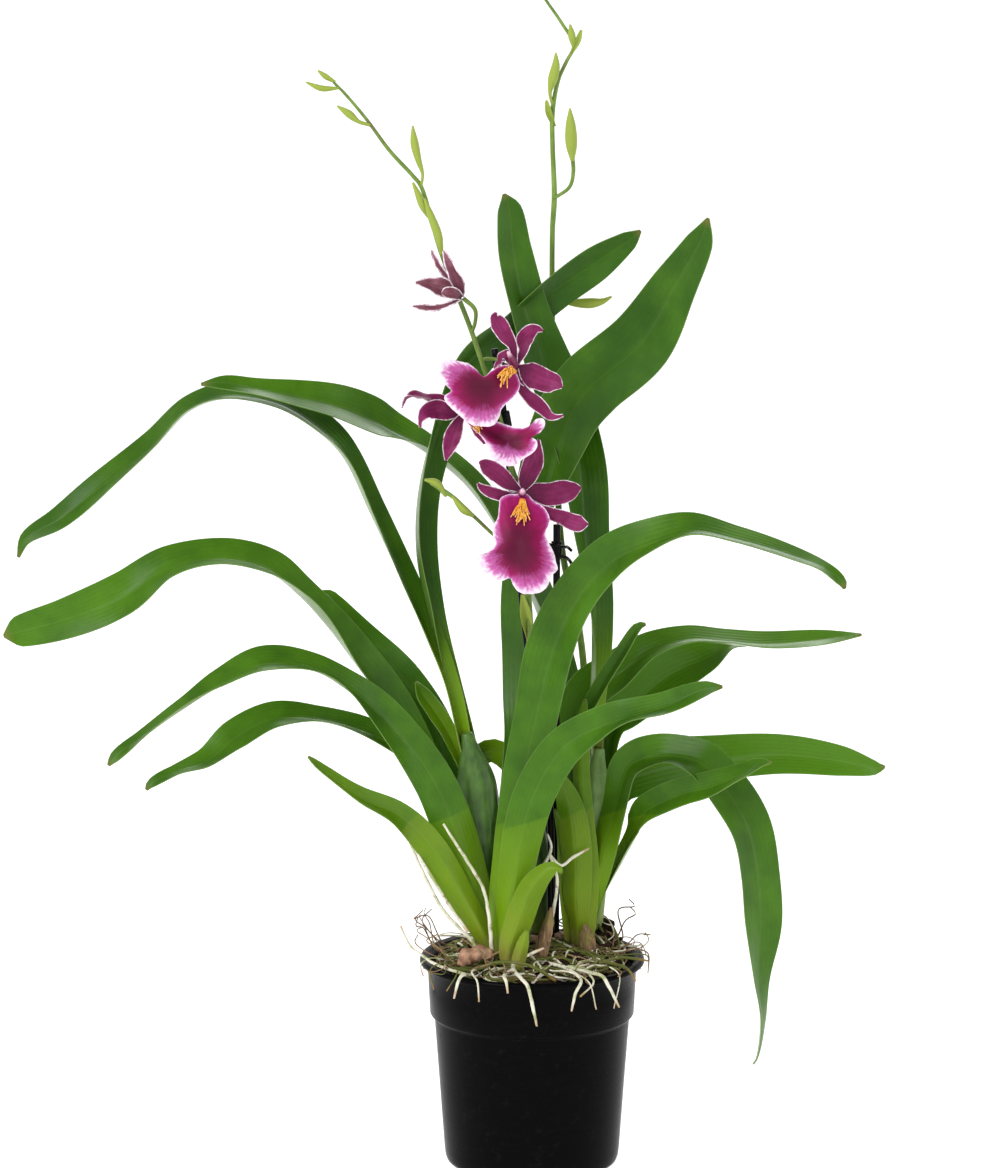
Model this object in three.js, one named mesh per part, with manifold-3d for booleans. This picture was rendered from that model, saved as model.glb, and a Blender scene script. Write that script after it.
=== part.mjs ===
// A potted miltonia orchid: leafy growths and two flower spikes in a black nursery pot.
// Millimetres, +Z up. The origin is the middle of the pot's underside and +Y points away
// from the front, which faces the viewer.

import * as THREE from 'three';
import { mergeVertices } from 'three/addons/utils/BufferGeometryUtils.js';
import Module from 'manifold-3d';

const wasm = await Module();
wasm.setup();

// Driving dimensions

const POT_HEIGHT = 112;
const LIP_RADIUS = 60;
const LIP_HEIGHT = 3.4;
const COLLAR_RADIUS_TOP = 55.8;
const COLLAR_RADIUS_BOTTOM = 54.5;
const COLLAR_HEIGHT = 31;
const BODY_RADIUS_TOP = 52.2;
const BASE_RADIUS = 46.5;
const POT_WALL = 1.2;
const POT_SIDES = 28;
const DRAIN_HOLES = 6;
const DRAIN_RADIUS = 4;
const DRAIN_CIRCLE = 30;

const CLEARANCE = 0.35;
const BLADE_MIDDLE = 1.2;
const BLADE_EDGE = 0.7;
const BRACT_MIDDLE = 0.9;
const PETAL_MIDDLE = 1.0;
const PETAL_EDGE = 0.65;
const LIP_POINTS = 20;
const LIP_REACHES = [0.08, 0.6, 1];
const STAKE_RADIUS = 1.9;

const COLOUR = {
  pot: '#17181a',
  stake: '#141517',
  bark: '#3a2a1f',
  rhizome: '#a5714f',
  bulb: '#3f5d28',
  greyBulb: '#6d8c4c',
  leaf: '#3c6b22',
  youngLeaf: '#6c9a2b',
  stem: '#6f8c3c',
  petal: '#8c1f60',
  paleBud: '#8b5f6d',
  crest: '#e09a2a',
  root: '#d9d3bb',
  mossyRoot: '#8a9141',
  drySheath: '#a58a63',
};

const VIEWER = new THREE.Vector3(0, -1, 0);

// Solids: closed skins, joined and cut

function toSolid(geometry) {
  const bare = new THREE.BufferGeometry();
  bare.setAttribute('position', geometry.getAttribute('position'));
  bare.setIndex(geometry.getIndex());
  const merged = mergeVertices(bare, 1e-4);
  return new wasm.Manifold(new wasm.Mesh({
    numProp: 3,
    vertProperties: Float32Array.from(merged.getAttribute('position').array),
    triVerts: Uint32Array.from(merged.getIndex().array),
  }));
}

function toGeometry(solid) {
  const { vertProperties, triVerts, numProp } = solid.getMesh();
  const places = new Float32Array((vertProperties.length / numProp) * 3);
  for (let i = 0; i < places.length / 3; i += 1) {
    places.set(vertProperties.subarray(i * numProp, i * numProp + 3), i * 3);
  }
  const geometry = new THREE.BufferGeometry();
  geometry.setAttribute('position', new THREE.BufferAttribute(places, 3));
  geometry.setIndex(new THREE.BufferAttribute(Uint32Array.from(triVerts), 1));
  geometry.computeVertexNormals();
  return geometry;
}

// A closed skin over triangles that may point either way as a whole: a negative volume turns it.
function closedSkin(points, triangles) {
  let volume = 0;
  for (const [a, b, c] of triangles) {
    volume += points[a].dot(points[b].clone().cross(points[c]));
  }
  const index = triangles.flatMap(([a, b, c]) => (volume > 0 ? [a, b, c] : [a, c, b]));
  const geometry = new THREE.BufferGeometry();
  const places = points.flatMap((point) => point.toArray());
  geometry.setAttribute('position', new THREE.Float32BufferAttribute(places, 3));
  geometry.setIndex(index);
  return toSolid(geometry);
}

// A skin over rings of an even number of points. Point i of a ring faces point n - 1 - i across
// the section, so the end caps are strips and both faces of a blade split alike.
function ringSkin(rings) {
  const n = rings[0].length;
  const triangles = [];
  for (let r = 0; r + 1 < rings.length; r += 1) {
    for (let i = 0; i < n; i += 1) {
      const [a, b] = [r * n + i, r * n + ((i + 1) % n)];
      const [d, c] = [a + n, b + n];
      if (i < n / 2) triangles.push([a, b, c], [a, c, d]);
      else triangles.push([a, b, d], [b, c, d]);
    }
  }
  for (const [start, turned] of [[0, true], [(rings.length - 1) * n, false]]) {
    for (let i = 0; i < n / 2 - 1; i += 1) {
      const quad = [i, i + 1, n - 2 - i, n - 1 - i].map((k) => start + k);
      const [a, b, c, d] = turned ? quad.reverse() : quad;
      if (i + 1 < n / 2 - 1 || b !== c) triangles.push([a, b, c]);
      triangles.push([a, c, d]);
    }
  }
  return closedSkin(rings.flat(), triangles);
}

function fuse(solids) {
  return solids.reduce((whole, solid) => whole.add(solid));
}

function largestPiece(solid) {
  return solid.decompose().reduce((best, piece) => (piece.volume() > best.volume() ? piece : best));
}

// Routes: rows of x, y, z and up to three values that change along the way

function stations(rows, steps) {
  const places = new THREE.CatmullRomCurve3(rows.map(([x, y, z]) => new THREE.Vector3(x, y, z)));
  const values = new THREE.CatmullRomCurve3(
    rows.map(([, , , a = 0, b = 0, c = 0]) => new THREE.Vector3(a, b, c)), false, 'catmullrom');
  return Array.from({ length: steps + 1 }, (_, i) => {
    const t = places.getUtoTmapping(i / steps);
    return {
      along: i / steps,
      place: places.getPoint(t),
      tangent: places.getTangent(t),
      values: values.getPoint(t).toArray(),
    };
  });
}

// A frame on the route whose face looks at the viewer, then turned about the tangent.
function frameAt(tangent, turn) {
  const towards = VIEWER.clone().addScaledVector(tangent, -VIEWER.dot(tangent)).normalize();
  const beside = tangent.clone().cross(towards);
  const angle = THREE.MathUtils.degToRad(turn);
  const face = towards.multiplyScalar(Math.cos(angle)).addScaledVector(beside, Math.sin(angle));
  return { face, side: face.clone().cross(tangent) };
}

// A leaf or petal. Each row is x, y, z of the middle between the margins, then the width, the turn
// of the upper face from the viewer and the fold of each half about the midrib, in degrees.
function blade(rows, grow, { steps = 12, middle = BLADE_MIDDLE, edge = BLADE_EDGE } = {}) {
  const rings = stations(rows, steps).map(({ along, place, tangent, values }) => {
    const [width, turn, fold] = values;
    const { face, side } = frameAt(tangent, turn);
    const end = along === 0 ? -grow : along === 1 ? grow : 0;
    const origin = place.clone().addScaledVector(tangent, end);
    const half = Math.max(width / 2, BLADE_EDGE) + grow;
    const angle = THREE.MathUtils.degToRad(fold);
    const point = (across, above) => {
      const thick = (across === 0 ? middle : edge) / 2 + grow;
      const lift = across === 0 ? thick / Math.cos(angle) : thick * Math.cos(angle);
      return origin.clone()
        .addScaledVector(side, across * (half * Math.cos(angle) - above * thick * Math.sin(angle)))
        .addScaledVector(face, (Math.abs(across) - 1) * half * Math.sin(angle) + above * lift);
    };
    return [point(-1, 1), point(0, 1), point(1, 1), point(1, -1), point(0, -1), point(-1, -1)];
  });
  return ringSkin(rings);
}

// The lip of a flower: a petal stretched from its middle to the places of a closed border
function lip(centre, border, grow) {
  const middle = new THREE.Vector3(...centre);
  const edge = new THREE.CatmullRomCurve3(border.map((point) => new THREE.Vector3(...point)), true)
    .getSpacedPoints(LIP_POINTS)
    .slice(0, LIP_POINTS);
  const ring = (reach, above) => edge.map((point, k) => {
    const out = point.clone().sub(middle);
    const onward = edge[(k + 1) % LIP_POINTS].clone().sub(edge[(k + LIP_POINTS - 1) % LIP_POINTS]);
    return middle.clone()
      .addScaledVector(out, reach * (1 + grow / out.length()))
      .addScaledVector(out.clone().cross(onward).normalize(), above * (PETAL_MIDDLE / 2 + grow));
  });
  const lower = LIP_REACHES.map((reach) => ring(reach, -1));
  const upper = LIP_REACHES.map((reach) => ring(reach, 1)).reverse();
  return ringSkin([...lower, ...upper]);
}

// A stem, root or bud. Each row is x, y, z and the radius there.
function stalk(rows, grow, { steps = 10, sides = 6 } = {}) {
  const places = new THREE.CatmullRomCurve3(rows.map(([x, y, z]) => new THREE.Vector3(x, y, z)));
  const frames = places.computeFrenetFrames(steps, false);
  const rings = stations(rows, steps).map(({ along, place, tangent, values: [radius] }, i) => {
    const end = along === 0 ? -grow : along === 1 ? grow : 0;
    return Array.from({ length: sides }, (_, k) => {
      const angle = (2 * Math.PI * (k + 0.5)) / sides;
      return place.clone()
        .addScaledVector(tangent, end)
        .addScaledVector(frames.normals[i], (radius + grow) * Math.cos(angle))
        .addScaledVector(frames.binormals[i], (radius + grow) * Math.sin(angle));
    });
  });
  return ringSkin(rings);
}

// A flattened pseudobulb. Each row is x, y, z, the half width seen from the front and the half
// depth.
function bulb(rows, grow, { steps = 8, sides = 12 } = {}) {
  const rings = stations(rows, steps).map(({ along, place, tangent, values: [wide, deep] }) => {
    const { face, side } = frameAt(tangent, 0);
    const end = along === 0 ? -grow : along === 1 ? grow : 0;
    return Array.from({ length: sides }, (_, k) => {
      const angle = (2 * Math.PI * (k + 0.5)) / sides;
      return place.clone()
        .addScaledVector(tangent, end)
        .addScaledVector(side, (wide + grow) * Math.cos(angle))
        .addScaledVector(face, (deep + grow) * Math.sin(angle));
    });
  });
  return ringSkin(rings);
}

// Assembly: each piece is cut back by the clearance from the pieces placed before it

const orchid = new THREE.Group();
const placed = [];

function boxOf(solid) {
  const { min, max } = solid.boundingBox();
  return new THREE.Box3(new THREE.Vector3(...min), new THREE.Vector3(...max));
}

function place(name, colour, build, finish = { roughness: 0.55 }) {
  let solid = build(0);
  const reach = boxOf(solid);
  for (const other of placed) {
    if (other.box.intersectsBox(reach)) solid = solid.subtract(other.grown);
  }
  solid = largestPiece(solid);
  const grown = build(CLEARANCE);
  placed.push({ grown, box: boxOf(grown) });
  const material = new THREE.MeshStandardMaterial({ color: colour, metalness: 0, ...finish });
  const mesh = new THREE.Mesh(toGeometry(solid), material);
  mesh.name = name;
  orchid.add(mesh);
}

// Pot

const COLLAR_FOOT = POT_HEIGHT - COLLAR_HEIGHT;
const LIP_FOOT = POT_HEIGHT - LIP_HEIGHT;
const FLOOR = POT_WALL + 0.4;

function potProfile(grow) {
  const outer = [
    [0, 0],
    [BASE_RADIUS - 1.6, 0],
    [BASE_RADIUS, 1.8],
    [BODY_RADIUS_TOP, COLLAR_FOOT - 2],
    [COLLAR_RADIUS_BOTTOM, COLLAR_FOOT],
    [COLLAR_RADIUS_TOP, LIP_FOOT],
    [LIP_RADIUS - 0.6, LIP_FOOT],
    [LIP_RADIUS, LIP_FOOT + LIP_HEIGHT / 2],
    [LIP_RADIUS - 0.8, POT_HEIGHT - 0.3],
    [LIP_RADIUS - 1.8, POT_HEIGHT],
  ].map(([r, z]) => [r && r + grow, z < COLLAR_FOOT ? z - grow : z + grow]);
  const inner = [
    [COLLAR_RADIUS_TOP - POT_WALL, POT_HEIGHT - 1.2],
    [COLLAR_RADIUS_BOTTOM - POT_WALL, COLLAR_FOOT + 1],
    [BODY_RADIUS_TOP - POT_WALL, COLLAR_FOOT - 1.4],
    [BASE_RADIUS - POT_WALL, 3.4],
    [BASE_RADIUS - 3.2, FLOOR],
    [0, FLOOR],
  ].map(([r, z]) => [r && r - grow, z + grow]);
  return [...outer, ...inner].map(([r, z]) => new THREE.Vector2(r, z));
}

function pot(grow) {
  const shell = new THREE.LatheGeometry(potProfile(grow), POT_SIDES).rotateX(Math.PI / 2);
  const radius = DRAIN_RADIUS - grow;
  return Array.from({ length: DRAIN_HOLES }, (_, i) => (2 * Math.PI * i) / DRAIN_HOLES)
    .map((angle) => new THREE.CylinderGeometry(radius, radius, 12, 8)
      .rotateX(Math.PI / 2)
      .translate(DRAIN_CIRCLE * Math.cos(angle), DRAIN_CIRCLE * Math.sin(angle), 0))
    .reduce((body, hole) => body.subtract(toSolid(hole)), toSolid(shell));
}

place('pot', COLOUR.pot, pot, { roughness: 0.25 });

// Stakes

const STAKE_FOOT = 30;
const STAKES = {
  stake_leaning: [[10, 8, STAKE_FOOT], [10, 8, 140], [9, 7, 197], [-3, 3, 282], [-12, -2, 374],
    [-15, -3, 401], [-20, -5, 437]],
  stake_straight: [[13, 22, STAKE_FOOT], [13, 22, 341]],
};

for (const [name, points] of Object.entries(STAKES)) {
  const rows = points.map((point) => [...point, STAKE_RADIUS]);
  const steps = rows.length > 2 ? 9 : 1;
  place(name, COLOUR.stake, (grow) => stalk(rows, grow, { steps, sides: 8 }), { roughness: 0.3 });
}

// Rhizome and pseudobulbs

const RHIZOME = [
  [-36, 6, 108, 3], [-27, 5, 114, 6], [-14, 1, 117, 5.5], [4, 10, 115, 5], [20, 17, 115, 5.5],
  [34, 18, 115, 6], [42, 20, 112, 3],
];
const RHIZOME_KNOB = [
  [-38, -34, 115, 2], [-35, -33, 119, 4.2], [-30, -32, 121, 4], [-26, -30, 121, 3.6],
  [-22, -27, 119, 3],
];
const BULBS = {
  bulb_left: { colour: COLOUR.bulb, rows: [
    [-23, 11, 123, 3.5, 3.5], [-25, 12, 150, 7.5, 6], [-28, 12, 180, 11, 8], [-30, 12, 204, 10.5, 7.5],
      [-33, 13, 221, 5, 4]] },
  bulb_right: { colour: COLOUR.greyBulb, rows: [
    [33, 16, 122, 5, 4], [33, 16, 150, 7.6, 5.5], [34, 16, 178, 8, 6], [34.5, 16, 200, 6.5, 5],
      [35, 16, 213, 4, 3.5]] },
  bulb_back: { colour: COLOUR.bulb, rows: [
    [5, 28, 111, 4, 4], [3, 30, 140, 7, 6], [2, 31, 165, 7, 6], [1, 30, 182, 4, 3.5]] },
};

place('rhizome', COLOUR.rhizome, (grow) => stalk(RHIZOME, grow, { steps: 12, sides: 8 }), {
  roughness: 0.8,
});
place('rhizome_knob', COLOUR.rhizome, (grow) => stalk(RHIZOME_KNOB, grow, { steps: 6 }), {
  roughness: 0.8,
});
for (const [name, { colour, rows }] of Object.entries(BULBS)) {
  place(name, colour, (grow) => bulb(rows, grow), { roughness: 0.45 });
}

// Flower spikes: stem, bracts, buds and pedicels in one piece each

const SPIKE_LEFT = {
  stem: [[-3, 3, 112, 2.2], [-2, 2, 169, 2.2], [0, 1, 218, 2.1], [-1, -6, 280, 2], [-4, -10, 327, 1.7],
    [-9, -11, 364, 1.6], [-17, -11, 400, 1.5], [-31, -9, 444, 1.3], [-48, -6, 488, 1.2],
    [-58, -2, 521, 1.1], [-62, -1, 526, 1.1], [-74, 0, 539, 1], [-86, 2, 555, 0.9], [-97, 3, 568, 0.8],
    [-103, 4, 574, 0.7]],
  twigs: [
    [[-17, -11, 337, 0.8], [-21, -13, 341, 0.9], [-31, -16, 351, 1], [-41, -20, 361, 1.1],
      [-48, -22, 366, 1.2], [-53, -24, 369, 0.7]],
    [[-6, -11, 331, 0.9], [-17, -11, 337, 0.8]],
    [[-32, -9, 445, 0.9], [-30, -11, 451, 1], [-30, -13, 458, 1.1], [-36, -14, 464, 1.2]],
    [[-26, -10, 432, 0.9], [-20, -9, 432, 1], [-14, -12, 429, 1.1]],
    [[-22, -11, 414, 0.9], [-26, -11, 412, 1], [-31.5, -14, 407.5, 1.1]],
    [[-14, -11, 386, 0.9], [-11, -11.5, 377, 1], [-8, -14, 368, 1.2]],
  ],
  buds: [
    [[-102, 4, 574, 0.7], [-107, 4, 577, 1.5], [-111, 4, 580, 0.5]],
    [[-100, 3, 571, 0.6], [-109, 2, 571, 1.6], [-117, 2, 574, 0.5]],
    [[-84, 1, 552, 0.8], [-90, 0, 554, 1.1], [-95, 0, 558, 2], [-101, 0, 562, 0.5]],
    [[-58, -2, 520, 0.8], [-57, -3, 527, 0.8], [-59, -4, 534, 1.6], [-61, -5, 543, 2.1],
      [-62, -5, 552, 0.5]],
    [[-54, -5, 505, 0.8], [-57, -7, 512, 2.2], [-62, -7, 523, 0.6]],
    [[-47, -7, 486, 0.8], [-49, -9, 496, 2.2], [-53, -10, 507, 1.8], [-56, -10, 515, 0.5]],
    [[-45, -20, 362, 1], [-50, -23, 369, 2], [-56, -25, 371, 0.6]],
    [[-31, -17, 351, 1], [-36, -20, 355, 2.1], [-42, -21, 362, 0.6]],
  ],
  bracts: [
    [[-2, -7, 284, 3, 20, 50], [-3.2, -11, 296, 8, 10, 42], [-5.5, -12.5, 309, 1.6, 0, 20]],
  ],
};

const SPIKE_RIGHT = {
  stem: [[34, 30, 112, 2.2], [33, 34, 167, 2.1], [32, 42, 199, 2], [29, 48, 240, 1.9],
    [28, 48, 261, 1.9], [25, 43, 285, 1.8], [19, 36, 310, 1.8], [16, 32, 327, 1.7], [14, 38, 352, 1.7],
    [12, 54, 405, 1.6], [11, 62, 430, 1.5], [11, 68, 455, 1.5], [11, 68, 494, 1.4], [12, 67, 511, 1.5],
    [11, 66, 537, 1.3], [11, 65, 558, 1.3], [14, 64, 574, 1.1], [18, 63, 583, 1], [22, 62, 592, 0.9],
    [16, 62, 603, 0.9], [7, 62, 616, 0.8], [2, 62, 624, 0.7], [-2, 62, 633, 0.7]],
  twigs: [
    [[12, 66, 511, 0.9], [20, 64, 517, 1], [22, 62, 525, 1.1], [21.5, 60, 533, 1.2]],
    [[11, 66, 447, 0.8], [14, 69, 454, 1], [20, 69, 455, 1.1]],
  ],
  buds: [
    [[21.5, 60, 531, 1], [21, 59, 540, 3.1], [20.5, 57, 550, 2.7], [20, 56, 559, 0.5]],
    [[11, 65, 560, 0.8], [9.5, 62, 567, 1], [11, 60, 574, 2.6], [12.5, 58, 581, 2.2],
      [12.5, 57, 588, 0.5]],
    [[22, 62, 591, 0.8], [21, 60, 597, 2], [20, 59, 603, 0.5]],
    [[18, 69, 455, 1.1], [25, 69, 454.5, 2.4], [32, 69, 454.5, 2.8], [38, 69, 455.5, 1.7],
      [43, 70, 458, 0.5]],
    [[6, 62, 617, 0.8], [4, 61, 622, 1.7], [1, 61, 630, 0.5]],
    [[-2, 62, 631, 0.7], [-4, 62, 638, 1.6], [-7, 62, 645, 0.5]],
  ],
  bracts: [
    [[12, 65, 549, 2.4, 0, 50], [9, 62.5, 556, 4.5, -10, 40], [7.5, 62, 563, 1.4, -10, 20]],
    [[21, 61, 588, 2, 0, 50], [24, 60, 594, 4, 10, 40], [26, 60, 600, 1.4, 10, 20]],
  ],
};

function spike({ stem, twigs, buds, bracts }, grow) {
  return fuse([
    stalk(stem, grow, { steps: 22 }),
    ...twigs.map((rows) => stalk(rows, grow, { steps: rows.length > 4 ? 4 : 2, sides: 4 })),
    ...buds.map((rows) => stalk(rows, grow, { steps: 4 })),
    ...bracts.map((rows) => blade(rows, grow, { steps: 4, middle: BRACT_MIDDLE })),
  ]);
}

place('spike_left', COLOUR.stem, (grow) => spike(SPIKE_LEFT, grow), { roughness: 0.5 });
place('spike_right', COLOUR.stem, (grow) => spike(SPIKE_RIGHT, grow), { roughness: 0.5 });

// Leaves. Each row: x, y, z of the midrib, width, turn from the viewer, fold of each half.

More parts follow.
